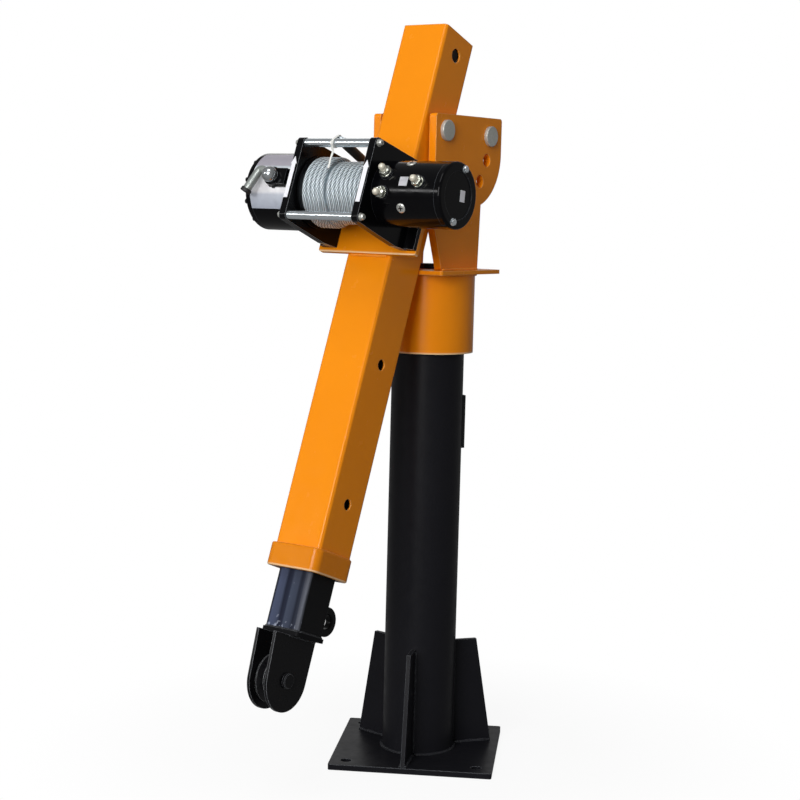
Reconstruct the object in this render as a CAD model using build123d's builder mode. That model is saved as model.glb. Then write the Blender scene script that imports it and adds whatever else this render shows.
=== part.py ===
from build123d import *
from math import acos, atan2, cos, degrees, hypot, pi, radians, sin, tan
import os

# Pickup truck crane: a post on a bolted base plate, a swivel head with two cheeks, a luffing
# square boom with a sliding extension and sheave, and an electric winch with a planetary gearbox.
# Millimetres. Origin: centre of the base plate's underside, +Z up, plate edges along X and Y.

# Fits shared by the whole crane
RUNNING_FIT = 0.05
FACE_GAP = 0.1
BOLT_CLEARANCE = 0.5

# Base plate, post and gussets
PLATE_SIZE = 200.0
PLATE_T = 7.0
PLATE_CORNER_R = 3.0
BASE_BOLT_PITCH = 160.0
BASE_BOLT_HOLE_D = 13.0
COLUMN_D = 89.0
COLUMN_WALL = 4.5
COLUMN_LENGTH = 595.0
COLUMN_CAP_T = 8.0
GUSSET_COUNT = 3
GUSSET_AZIMUTH = 25.0
GUSSET_T = 5.0
GUSSET_H = 134.0
GUSSET_TOP_W = 30.5
GUSSET_FOOT_W = 53.5
DATA_PLATE_W = 32.0
DATA_PLATE_H = 66.0
DATA_PLATE_T = 1.0
DATA_PLATE_AZIMUTH = 26.0
DATA_PLATE_BELOW_TOP = 181.0

# Swivel head
HEAD_AZIMUTH = -118.78
SLEEVE_D = 110.5
SLEEVE_WALL = 6.0
SLEEVE_LENGTH = 97.0
BUSH_LENGTH = 25.0
THRUST_WASHER_T = 3.0
HEAD_PLATE_T = 5.0
HEAD_PLATE_W = 125.0
HEAD_PLATE_BACK = 62.5
KING_BOLT_D = 16.0
KING_HEX = 24.0
KING_HEAD_H = 6.0
KING_NUT_H = 13.0
KING_CHAMFER = 1.0
KING_THREAD_SHOW = 2.0
CHEEK_T = 10.0
CHEEK_RIGHT_CLEARANCE = 2.3
CHEEK_LEFT_CLEARANCE = 5.0
CHEEK_FRONT = 60.5
CHEEK_BACK = 84.4
CHEEK_TOP_ABOVE_PIVOT = 19.5
CHEEK_FOOT_FRONT = 41.6
CHEEK_FOOT_BACK = 37.4
CHEEK_SLANT_H = 54.0
CHEEK_LOBE_R = 66.5
CHEEK_LOBE_DROP = 24.7
CHEEK_LOBE_END = 41.0
CHEEK_CORNER_R = 4.0
CHEEK_NOTCH_R = 5.0

# Pivot pin and lock pin
PIVOT_X = 39.1
PIVOT_Z = 776.3
PIN_D = 16.0
PIN_HEAD_D = 25.0
PIN_HEAD_T = 4.5
PIN_CHAMFER = 1.2
PIVOT_PIN_TAIL = 9.0
WASHER_D = 30.0
WASHER_T = 2.5
SPLIT_PIN_D = 3.2
SPLIT_PIN_LENGTH = 22.0
SPLIT_PIN_EYE_R = 3.6
LOCK_PIN_TAIL = 4.0
LOCK_RADIUS = 96.5
LOCK_FIRST = 1.8
LOCK_STEP = 17.8
LOCK_COUNT = 3

# Boom
BOOM_TILT = 20.74
BOOM_W = 64.0
BOOM_WALL = 4.0
BOOM_CORNER_R = 4.5
BOOM_TAIL = 123.4
BOOM_LENGTH_BELOW_PIVOT = 548.0
PIVOT_BUSH_D = 26.0
EXTENSION_PIN_HOLE_D = 13.0
EXTENSION_PIN_ABOVE_END = 86.0
EXTENSION_PIN_PITCH = 168.0
COLLAR_H = 27.0
COLLAR_SIDE = 4.3
COLLAR_FRONT = 6.5
COLLAR_BACK = 2.4
COLLAR_CORNER_R = 10.5
COLLAR_EDGE_R = 2.0
PAD_W = 36.0
BOOM_PAD_H = 58.0
BOOM_PAD_INSET = 5.0
EXTENSION_PAD_H = 36.0
PAD_CLEARANCE = 0.4
BRACKET_W = 140.0
BRACKET_T = 6.0
BRACKET_TOP = 58.0
BRACKET_BOTTOM = 171.0

# Sliding extension and sheave head
EXTENSION_W = 48.8
EXTENSION_WALL = 4.0
EXTENSION_CORNER_R = 4.5
EXTENSION_SHOW = 68.0
EXTENSION_LENGTH = 372.0
END_PLATE_W = 53.0
END_PLATE_T = 5.0
SHEAVE_CHEEK_T = 3.6
SHEAVE_CHEEK_GAP = 21.0
SHEAVE_CHEEK_R = 36.0
SHEAVE_CHEEK_FRONT = 50.0
SHEAVE_FORWARD = 9.5
SHEAVE_DROP = 50.0
SHEAVE_D = 56.0
SHEAVE_W = 18.0
SHEAVE_GROOVE_R = 4.5
SHEAVE_GROOVE_DEPTH = 6.0
SHEAVE_BUSH_D = 18.0
SHEAVE_AXLE_D = 12.0
AXLE_HEAD_D = 18.0
AXLE_HEAD_T = 4.0
EYE_R = 17.5
EYE_HOLE_D = 17.0
EYE_T = 10.0
EYE_ROUND = 2.0
EYE_REACH = 28.0
EYE_ABOVE_END = 22.0

# Winch: place, frames and tie rods
WINCH_DROP = 119.0
WINCH_HEIGHT = 57.0
FRAME_LEFT = 44.0
FRAME_RIGHT = 49.0
FRAME_T = 9.0
FRAME_TOP = 57.0
FRAME_BOTTOM = 47.0
FRAME_BELLY = 50.5
FRAME_BELLY_FRONT = 14.0
FRAME_BELLY_BACK = -32.0
FRAME_BORE_D = 38.0
TIE_ROD_D = 10.0
TIE_ROD_OUT = 43.0
TIE_ROD_ASIDE = 44.0
TIE_EAR_R = 6.0
TIE_BOLT_D = 6.0
TIE_BOLT_HEAD_D = 8.5
TIE_BOLT_HEAD_H = 4.5
TIE_BOLT_REACH = 12.0
TIE_WASHER_D = 10.5
TIE_WASHER_T = 1.4
FOOT_REACH = 12.0
FOOT_T = 6.0
FOOT_FILLET_R = 4.0
FOOT_BOLT_D = 6.0
FOOT_BOLT_HEX = 10.0
FOOT_BOLT_HEAD_H = 4.0
FOOT_WASHER_D = 12.0
FOOT_WASHER_T = 1.6
FOOT_BOLT_INSET = 14.0
FOOT_BOLT_REACH = 14.0

# Winch motor
MOTOR_D = 75.0
MOTOR_WALL = 4.0
MOTOR_LENGTH = 84.0
MOTOR_FRONT_WALL = 5.0
END_CAP_T = 8.0
END_CAP_EDGE_R = 3.0
END_CAP_RECESS_R = 27.0
END_CAP_RECESS = 1.2
SHAFT_D = 10.0
BEARING_D = 18.0
BEARING_T = 5.0
MAGNET_T = 5.4
MAGNET_SPAN = 68.0
MAGNET_LENGTH = 58.0
MAGNET_START = 8.0
MAGNET_COUNT = 4
AIR_GAP = 0.8
CORE_LENGTH = 50.0
CORE_START = 12.0
COIL_R = 21.0
COIL_LENGTH = 6.0
COMMUTATOR_R = 13.0
COMMUTATOR_LENGTH = 9.0
BRUSH_PLATE_T = 2.5
BRUSH_SIZE = 8.0
BRUSH_GAP = 0.4
THROUGH_BOLT_CIRCLE = 31.0
THROUGH_BOLT_D = 5.0
THROUGH_BOLT_HEAD_D = 8.5
THROUGH_BOLT_HEAD_H = 3.5
TERMINAL_UPPER_PLACE = 16.0
TERMINAL_UPPER_ANGLE = 16.0
TERMINAL_LOWER_PLACE = 15.5
TERMINAL_LOWER_ANGLE = -18.0
TERMINAL_FAR_PLACE = 63.0
TERMINAL_BOSS_D = 15.0
TERMINAL_BOSS_H = 2.0
TERMINAL_STUD_D = 8.0
TERMINAL_STUD_ROUND = 3.0
TERMINAL_STUD_H = 14.0
TERMINAL_NUT_HEX = 13.0
TERMINAL_NUT_H = 5.0
POLE_SCREW_D = 11.5
POLE_SCREW_PROUD = 0.8
POLE_SCREW_PLACE = 39.0
POLE_SCREW_SLOT = 1.4

# Winch drum, rope and rope end
DRUM_CORE_D = 40.0
DRUM_BORE_D = 15.0
DRUM_FLANGE_D = 84.0
DRUM_FLANGE_T = 2.0
DRUM_SIDE_GAP = 1.0
JOURNAL_D = 32.0
ROPE_D = 5.2
ROPE_PITCH = 6.1
ROPE_TURNS = 13
ROPE_FLANGE_GAP = 2.7
ROPE_HIGH_TURNS = 4.5
ROPE_HIGH_R = 38.4
ROPE_LOW_R = 33.4
ROPE_BED_GAP = 0.5
ROPE_END_ANGLE = 180.0
ROPE_LUG_LENGTH = 6.0
ROPE_LUG_W = 5.4
EYE_LEG = 8.0
EYE_LEG_ANGLE = 20.0
EYE_LEG_SPREAD = 5.3
EYE_SLEEVE_D = 11.0
EYE_SLEEVE_LENGTH = 36.0
EYE_SLEEVE_ROUND = 1.5
EYE_SLEEVE_LAP = 1.0
ROPE_STUB = 5.0
ROPE_EYE_TILT = 5.7
ROPE_EYE_BEARING = 56.5
ROPE_EYE_GAP = 1.3
ROPE_EYE_AXIAL = -3.0
TIE_STRAP_W = 3.0
TIE_STRAP_T = 1.0

# Winch gearbox and clutch
GEARBOX_D = 90.0
GEARBOX_WALL = 4.0
GEARBOX_LENGTH = 57.0
COVER_T = 8.0
COVER_EDGE_R = 2.0
COVER_BOSS_R = 11.0
COVER_BOSS_LENGTH = 14.0
COVER_SCREW_COUNT = 10
COVER_SCREW_TURN = 2.0
COVER_SCREW_CIRCLE = 40.0
COVER_SCREW_D = 4.0
COVER_SCREW_HEAD_D = 6.0
COVER_SCREW_HEAD_H = 3.5
MODULE = 1.4
SUN_TEETH = 12
PLANET_TEETH = 18
RING_TEETH = 48
PLANET_COUNT = 3
ADDENDUM = 0.8
DEDENDUM = 1.25
TOOTH_SHARE = 0.43
PRESSURE_ANGLE = 20.0
GEAR_W = 14.0
CARRIER_T = 8.0
CARRIER_R = 30.0
PLANET_PIN_D = 6.0
GEAR_SIDE_GAP = 1.0
CLUTCH_BOSS_D = 22.0
CLUTCH_BLOCK_L = 20.0
CLUTCH_BLOCK_W = 19.0
CLUTCH_BOSS_H = 6.0
CLUTCH_PLACE = 23.0
CLUTCH_HUB_D = 18.0
CLUTCH_HUB_H = 12.0
CLUTCH_SPINDLE_D = 8.0
CLUTCH_SPINDLE_L = 6.0
LEVER_D = 10.5
LEVER_BORE_D = 7.6
LEVER_BORE_DEPTH = 14.0
LEVER_ELBOW = (-15.0, -12.0)
LEVER_TIP = (-28.4, 19.5)
LEVER_ELBOW_R = 8.0

# Frames of reference. The head turns about Z, with x outward, y to the winch motor's side and z up.
# The boom's frame stands at the pivot, with x out of its front face and z up along the boom.
# The winch's frame lies on the drum axis, with x out of the boom, y down it and z to the motor.
column_top = PLATE_T + COLUMN_LENGTH
data_plate_z = column_top - DATA_PLATE_BELOW_TOP
plate_bottom = column_top + THRUST_WASHER_T + FACE_GAP
plate_top = plate_bottom + HEAD_PLATE_T
cheek_right_inner = BOOM_W / 2 + CHEEK_RIGHT_CLEARANCE
cheek_left_inner = -BOOM_W / 2 - CHEEK_LEFT_CLEARANCE
cheek_right_outer = cheek_right_inner + CHEEK_T
cheek_left_outer = cheek_left_inner - CHEEK_T
lock_angles = [LOCK_FIRST + i * LOCK_STEP for i in range(LOCK_COUNT)]

azimuth = radians(HEAD_AZIMUTH)
tilt = radians(BOOM_TILT)
HEAD = Plane(origin=(0, 0, 0), x_dir=(cos(azimuth), sin(azimuth), 0), z_dir=(0, 0, 1))
BOOM = Plane(
    origin=HEAD.from_local_coords((PIVOT_X, 0, PIVOT_Z)),
    x_dir=HEAD.x_dir * cos(tilt) + HEAD.z_dir * sin(tilt),
    z_dir=HEAD.z_dir * cos(tilt) - HEAD.x_dir * sin(tilt),
)
mount_face = BOOM_W / 2 + BRACKET_T
WINCH = Plane(
    origin=BOOM.from_local_coords((mount_face + WINCH_HEIGHT, 0, -WINCH_DROP)),
    x_dir=BOOM.x_dir,
    z_dir=BOOM.y_dir,
)
WINCH_AXIS = Axis(WINCH.origin, WINCH.z_dir)


def side_plane(frame, y=0.0):
    """Sheet parallel to a frame's x and z at lateral place y, drawn as (x, z), facing -y."""
    return Plane(origin=frame.from_local_coords((0, y, 0)), x_dir=frame.x_dir, z_dir=-frame.y_dir)


def cross_plane(frame, x=0.0):
    """Sheet parallel to a frame's y and z at x, drawn as (y, z), facing +x."""
    return Plane(origin=frame.from_local_coords((x, 0, 0)), x_dir=frame.y_dir, z_dir=frame.x_dir)


def axial_plane(along):
    """Half section through the winch axis, drawn as (radius, place along the axis)."""
    return Plane(origin=WINCH.origin, x_dir=along, z_dir=-WINCH.z_dir.cross(along))


def radial_plane(radius, angle, place):
    """Sheet facing out of the winch axis; angle is counted upward from the winch's front."""
    out = WINCH.x_dir * cos(radians(angle)) - WINCH.y_dir * sin(radians(angle))
    foot = WINCH.origin + out * radius + WINCH.z_dir * place
    return Plane(origin=foot, x_dir=WINCH.z_dir, z_dir=out)


def finish(builder, name):
    """Names a finished piece and writes it."""
    builder.part.label = name
    export_step(builder.part, f"parts/{name}.step")


os.makedirs("parts", exist_ok=True)

# Base plate: flame-cut square with four anchor bolt holes
with BuildPart() as base_plate:
    with BuildSketch():
        RectangleRounded(PLATE_SIZE, PLATE_SIZE, PLATE_CORNER_R)
        with GridLocations(BASE_BOLT_PITCH, BASE_BOLT_PITCH, 2, 2):
            Circle(BASE_BOLT_HOLE_D / 2, mode=Mode.SUBTRACT)
    extrude(amount=PLATE_T)
finish(base_plate, "base_plate")

# Post: steel tube welded on the plate
with BuildPart() as column_tube:
    with BuildSketch(Plane.XY.offset(PLATE_T)):
        Circle(COLUMN_D / 2)
        Circle(COLUMN_D / 2 - COLUMN_WALL, mode=Mode.SUBTRACT)
    extrude(amount=COLUMN_LENGTH)
finish(column_tube, "column_tube")

# Gussets: tapered plates round the post's foot, cut to the post's curve
with BuildPart() as gussets:
    for i in range(GUSSET_COUNT):
        turn = radians(GUSSET_AZIMUTH + i * 360 / GUSSET_COUNT)
        sheet = Plane(origin=(0, 0, PLATE_T), x_dir=(cos(turn), sin(turn), 0), z_dir=(sin(turn), -cos(turn), 0))
        with BuildSketch(sheet):
            with BuildLine():
                Polyline(
                    (COLUMN_D / 4, 0),
                    (COLUMN_D / 2 + GUSSET_FOOT_W, 0),
                    (COLUMN_D / 2 + GUSSET_TOP_W, GUSSET_H),
                    (COLUMN_D / 4, GUSSET_H),
                    close=True,
                )
            make_face()
        extrude(amount=GUSSET_T / 2, both=True)
    with BuildSketch(Plane.XY.offset(PLATE_T)):
        Circle(COLUMN_D / 2)
    extrude(amount=GUSSET_H, mode=Mode.SUBTRACT)
finish(gussets, "gussets")

# Column cap: disc welded inside the post's top, holding the king bolt
with BuildPart() as column_cap:
    with BuildSketch(Plane.XY.offset(column_top - COLUMN_CAP_T)):
        Circle(COLUMN_D / 2 - COLUMN_WALL)
        Circle(KING_BOLT_D / 2 + FACE_GAP, mode=Mode.SUBTRACT)
    extrude(amount=COLUMN_CAP_T)
finish(column_cap, "column_cap")

# Thrust washer: the head's weight turns on it
with BuildPart() as thrust_washer:
    with BuildSketch(Plane.XY.offset(column_top)):
        Circle(COLUMN_D / 2)
        Circle(KING_BOLT_D / 2 + BOLT_CLEARANCE, mode=Mode.SUBTRACT)
    extrude(amount=THRUST_WASHER_T)
finish(thrust_washer, "thrust_washer")

# King bolt and nut: hold the head down on the post
with BuildPart() as king_bolt:
    with BuildSketch(Plane.XY.offset(plate_top + FACE_GAP)):
        RegularPolygon(KING_HEX / 2, 6, major_radius=False)
    extrude(amount=KING_HEAD_H)
    chamfer(king_bolt.faces().sort_by(Axis.Z)[-1].edges(), length=KING_CHAMFER)
    with BuildSketch(Plane.XY.offset(plate_top + FACE_GAP)):
        Circle(KING_BOLT_D / 2)
    king_reach = plate_top + FACE_GAP - column_top + COLUMN_CAP_T + KING_NUT_H + KING_THREAD_SHOW
    extrude(amount=-king_reach)
    with BuildSketch(Plane.XY.offset(column_top - COLUMN_CAP_T)):
        RegularPolygon(KING_HEX / 2, 6, major_radius=False)
        Circle(KING_BOLT_D / 2 + FACE_GAP, mode=Mode.SUBTRACT)
    extrude(amount=-KING_NUT_H)
finish(king_bolt, "king_bolt")

# Data plate: bare rating plate seated on the post, its back cut to the post's curve
with BuildPart() as data_plate:
    turn = radians(DATA_PLATE_AZIMUTH)
    facing = Vector(cos(turn), sin(turn), 0)
    front = facing * (COLUMN_D / 2 + DATA_PLATE_T) + Vector(0, 0, data_plate_z)
    seat = Plane(origin=front, x_dir=(-sin(turn), cos(turn), 0), z_dir=facing)
    with BuildSketch(seat):
        RectangleRounded(DATA_PLATE_W, DATA_PLATE_H, DATA_PLATE_T)
    extrude(amount=-(DATA_PLATE_T + COLUMN_D / 8))
    with BuildSketch(Plane.XY.offset(data_plate_z - DATA_PLATE_H)):
        Circle(COLUMN_D / 2)
    extrude(amount=2 * DATA_PLATE_H, mode=Mode.SUBTRACT)
finish(data_plate, "data_plate")

# Swivel sleeve: short tube round the post's top
with BuildPart() as sleeve:
    with BuildSketch(Plane.XY.offset(plate_bottom)):
        Circle(SLEEVE_D / 2)
        Circle(SLEEVE_D / 2 - SLEEVE_WALL, mode=Mode.SUBTRACT)
    extrude(amount=-SLEEVE_LENGTH)
finish(sleeve, "sleeve")

# Swivel bushes: plain liners at both ends of the sleeve, running on the post
with BuildPart() as swivel_bushes:
    upper_bush_top = column_top - FACE_GAP
    lower_bush_top = plate_bottom - SLEEVE_LENGTH + BUSH_LENGTH
    for top in (upper_bush_top, lower_bush_top):
        with BuildSketch(Plane.XY.offset(top)):
            Circle(SLEEVE_D / 2 - SLEEVE_WALL)
            Circle(COLUMN_D / 2 + RUNNING_FIT, mode=Mode.SUBTRACT)
        extrude(amount=-BUSH_LENGTH)
finish(swivel_bushes, "swivel_bushes")

# Head plate: its front edge is the stop that the lowered boom leans on
rest_drop = (PIVOT_Z - plate_top - BOOM_W / 2 * sin(tilt)) / cos(tilt)
boom_back_at_plate = PIVOT_X + rest_drop * sin(tilt) - BOOM_W / 2 * cos(tilt)
plate_front = boom_back_at_plate - FACE_GAP
with BuildPart() as head_plate:
    with BuildSketch(HEAD.offset(plate_bottom)):
        with Locations(((plate_front - HEAD_PLATE_BACK) / 2, 0)):
            RectangleRounded(plate_front + HEAD_PLATE_BACK, HEAD_PLATE_W, PLATE_CORNER_R)
        Circle(KING_BOLT_D / 2 + BOLT_CLEARANCE, mode=Mode.SUBTRACT)
    extrude(amount=HEAD_PLATE_T)
finish(head_plate, "head_plate")

# Cheeks: two cut plates with the pivot hole and an arc of lock holes
cheek_top = PIVOT_Z + CHEEK_TOP_ABOVE_PIVOT
lobe_centre = (-CHEEK_BACK + CHEEK_LOBE_R, PIVOT_Z - CHEEK_LOBE_DROP)
lobe_sweep = degrees(acos((CHEEK_LOBE_END + lobe_centre[0]) / CHEEK_LOBE_R))
lobe_end = (-CHEEK_LOBE_END, lobe_centre[1] - CHEEK_LOBE_R * sin(radians(lobe_sweep)))


def lock_place(angle):
    """A lock hole in the head's (x, z), at an angle below the level behind the pivot."""
    return (PIVOT_X - LOCK_RADIUS * cos(radians(angle)), PIVOT_Z - LOCK_RADIUS * sin(radians(angle)))


def make_cheek(inner_face, thickness):
    """One cheek, from its inner face outward; a negative thickness lies on the -y side."""
    with BuildPart() as cheek:
        sheet = side_plane(HEAD, inner_face)
        with BuildSketch(sheet):
            with BuildLine():
                JernArc((-CHEEK_BACK, lobe_centre[1]), (0, -1), CHEEK_LOBE_R, lobe_sweep)
                Polyline(
                    lobe_end,
                    (-CHEEK_FOOT_BACK, plate_top),
                    (CHEEK_FOOT_FRONT, plate_top),
                    (CHEEK_FRONT, plate_top + CHEEK_SLANT_H),
                    (CHEEK_FRONT, cheek_top),
                    (-CHEEK_BACK, cheek_top),
                    (-CHEEK_BACK, lobe_centre[1]),
                )
            outline = make_face()
            notch = outline.vertices().sort_by_distance(sheet.from_local_coords(lobe_end))[0]
            fillet(notch, radius=CHEEK_NOTCH_R)
            with Locations((PIVOT_X, PIVOT_Z)):
                Circle(PIN_D / 2 + RUNNING_FIT, mode=Mode.SUBTRACT)
            with Locations(*[lock_place(angle) for angle in lock_angles]):
                Circle(PIN_D / 2 + RUNNING_FIT, mode=Mode.SUBTRACT)
        extrude(amount=-thickness)
        upright = cheek.edges().filter_by(Axis(HEAD.origin, HEAD.y_dir))
        fillet(upright.group_by(Axis.Z)[-1], radius=CHEEK_CORNER_R)
    return cheek


cheek_right = make_cheek(cheek_right_inner, CHEEK_T)
finish(cheek_right, "cheek_right")
cheek_left = make_cheek(cheek_left_inner, -CHEEK_T)
finish(cheek_left, "cheek_left")


def make_pin(place, tail):
    """Headed pin through both cheeks at (x, z), its head on the motor side."""
    reach = cheek_right_outer - cheek_left_outer + tail
    with BuildPart() as pin:
        with BuildSketch(side_plane(HEAD, cheek_right_outer)):
            with Locations(place):
                Circle(PIN_D / 2)
        extrude(amount=reach)
        tip = pin.faces().sort_by(Axis(HEAD.origin, HEAD.y_dir))[0]
        chamfer(tip.edges(), length=PIN_CHAMFER)
        with BuildSketch(side_plane(HEAD, cheek_right_outer)):
            with Locations(place):
                Circle(PIN_HEAD_D / 2)
        extrude(amount=-PIN_HEAD_T)
        crown = pin.faces().sort_by(Axis(HEAD.origin, HEAD.y_dir))[-1]
        fillet(crown.edges(), radius=PIN_CHAMFER)
        if tail > WASHER_T + SPLIT_PIN_D:
            with BuildSketch(HEAD.offset(PIVOT_Z)):
                with Locations((PIVOT_X, split_pin_y)):
                    Circle(SPLIT_PIN_D / 2 + FACE_GAP)
            extrude(amount=PIN_D, both=True, mode=Mode.SUBTRACT)
    return pin


# Pivot pin with its washer and split pin, and the lock pin kept in the first lock hole
split_pin_y = cheek_left_outer - WASHER_T - SPLIT_PIN_D / 2 - BOLT_CLEARANCE
pivot_pin = make_pin((PIVOT_X, PIVOT_Z), PIVOT_PIN_TAIL)
finish(pivot_pin, "pivot_pin")
lock_pin = make_pin(lock_place(LOCK_FIRST), LOCK_PIN_TAIL)
finish(lock_pin, "lock_pin")

with BuildPart() as pivot_washer:
    with BuildSketch(side_plane(HEAD, cheek_left_outer)):
        with Locations((PIVOT_X, PIVOT_Z)):
            Circle(WASHER_D / 2)
            Circle(PIN_D / 2 + BOLT_CLEARANCE, mode=Mode.SUBTRACT)
    extrude(amount=WASHER_T)
finish(pivot_washer, "pivot_washer")

with BuildPart() as pivot_split_pin:
    split_top = PIVOT_Z + SPLIT_PIN_LENGTH / 2
    with BuildSketch(HEAD.offset(split_top)):
        with Locations((PIVOT_X, split_pin_y)):
            Circle(SPLIT_PIN_D / 2)
    extrude(amount=-SPLIT_PIN_LENGTH)
    ring_centre = HEAD.from_local_coords((PIVOT_X, split_pin_y, split_top + SPLIT_PIN_EYE_R))
    with Locations(Location(Plane(origin=ring_centre, x_dir=HEAD.x_dir, z_dir=HEAD.y_dir))):
        Torus(SPLIT_PIN_EYE_R, SPLIT_PIN_D / 2)
finish(pivot_split_pin, "pivot_split_pin")

# Boom: square tube, cross-drilled for the pivot bush, the lock pin and the extension pins
boom_inner = BOOM_W - 2 * BOOM_WALL
extension_end = BOOM_LENGTH_BELOW_PIVOT + EXTENSION_SHOW
extension_top = extension_end - EXTENSION_LENGTH
extension_pin_lower = BOOM_LENGTH_BELOW_PIVOT - EXTENSION_PIN_ABOVE_END
extension_pin_upper = extension_pin_lower - EXTENSION_PIN_PITCH
extension_pin_places = ((0, -extension_pin_upper), (0, -extension_pin_lower))
with BuildPart() as boom_tube:
    with BuildSketch(BOOM.offset(BOOM_TAIL)):
        RectangleRounded(BOOM_W, BOOM_W, BOOM_CORNER_R)
        RectangleRounded(boom_inner, boom_inner, BOOM_CORNER_R - BOOM_WALL / 2, mode=Mode.SUBTRACT)
    extrude(amount=-(BOOM_TAIL + BOOM_LENGTH_BELOW_PIVOT))
    with BuildSketch(side_plane(BOOM)):
        Circle(PIVOT_BUSH_D / 2)
        with Locations((0, LOCK_RADIUS)):
            Circle(PIN_D / 2 + BOLT_CLEARANCE)
        with Locations(*extension_pin_places):
            Circle(EXTENSION_PIN_HOLE_D / 2)
    extrude(amount=BOOM_W, both=True, mode=Mode.SUBTRACT)
finish(boom_tube, "boom_tube")

# Pivot bush: tube welded across the boom, turning on the pivot pin
with BuildPart() as pivot_bush:
    with BuildSketch(side_plane(BOOM)):
        Circle(PIVOT_BUSH_D / 2)
        Circle(PIN_D / 2 + RUNNING_FIT, mode=Mode.SUBTRACT)
    extrude(amount=BOOM_W / 2, both=True)
finish(pivot_bush, "pivot_bush")

# Boom collar: band round the open end of the boom
collar_top = -(BOOM_LENGTH_BELOW_PIVOT - COLLAR_H)
with BuildPart() as boom_collar:
    with BuildSketch(BOOM.offset(collar_top)):
        with Locations(((COLLAR_FRONT - COLLAR_BACK) / 2, 0)):
            RectangleRounded(BOOM_W + COLLAR_FRONT + COLLAR_BACK, BOOM_W + 2 * COLLAR_SIDE, COLLAR_CORNER_R)
        RectangleRounded(BOOM_W, BOOM_W, BOOM_CORNER_R, mode=Mode.SUBTRACT)
    extrude(amount=-COLLAR_H)
    rims = boom_collar.faces().sort_by(Axis(BOOM.origin, BOOM.z_dir))
    fillet(rims[0].outer_wire().edges() + rims[-1].outer_wire().edges(), radius=COLLAR_EDGE_R)
finish(boom_collar, "boom_collar")

# Slide pads: nylon strips, four on the boom's inner walls and four on the extension's top end
pad_t = (boom_inner - EXTENSION_W) / 2 - PAD_CLEARANCE


def make_pads(face_distance, inward, top, height):
    """Four pads on the faces of a square, at a distance from the boom's middle."""
    middle = face_distance - pad_t / 2 if inward else face_distance + pad_t / 2
    with BuildPart() as pads:
        with BuildSketch(BOOM.offset(top)):
            with PolarLocations(middle, 4):
                Rectangle(pad_t, PAD_W)
        extrude(amount=-height)
    return pads


boom_pad_top = BOOM_PAD_H + BOOM_PAD_INSET - BOOM_LENGTH_BELOW_PIVOT
boom_slide_pads = make_pads(boom_inner / 2, True, boom_pad_top, BOOM_PAD_H)
finish(boom_slide_pads, "boom_slide_pads")
extension_slide_pads = make_pads(EXTENSION_W / 2, False, -extension_top, EXTENSION_PAD_H)
finish(extension_slide_pads, "extension_slide_pads")

# Winch bracket: flat plate welded on the boom's front face, drilled for the winch's bolts
frame_sides = ((-1, FRAME_LEFT), (1, FRAME_RIGHT))
frame_left_outer = FRAME_LEFT + FRAME_T
frame_right_outer = FRAME_RIGHT + FRAME_T
foot_bolt_y = [side * (inner + FRAME_T / 2) for side, inner in frame_sides]
foot_bolt_s = (WINCH_DROP - FRAME_TOP + FOOT_BOLT_INSET, WINCH_DROP + FRAME_BOTTOM - FOOT_BOLT_INSET)
foot_bolt_places = [(y, -s) for y in foot_bolt_y for s in foot_bolt_s]
with BuildPart() as winch_bracket:
    with BuildSketch(cross_plane(BOOM, BOOM_W / 2)):
        with Locations((0, -(BRACKET_TOP + BRACKET_BOTTOM) / 2)):
            RectangleRounded(BRACKET_W, BRACKET_BOTTOM - BRACKET_TOP, PLATE_CORNER_R)
        with Locations(*foot_bolt_places):
            Circle(FOOT_BOLT_D / 2 + BOLT_CLEARANCE, mode=Mode.SUBTRACT)
    extrude(amount=BRACKET_T)
finish(winch_bracket, "winch_bracket")

# Winch frames: cast side plates round the drum with a straight front between two ears, a flared
# leg and a foot, tapped from behind for the bolts
tie_places = ((TIE_ROD_OUT, -TIE_ROD_ASIDE), (TIE_ROD_OUT, TIE_ROD_ASIDE))
frame_front = TIE_ROD_OUT + TIE_EAR_R


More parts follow.
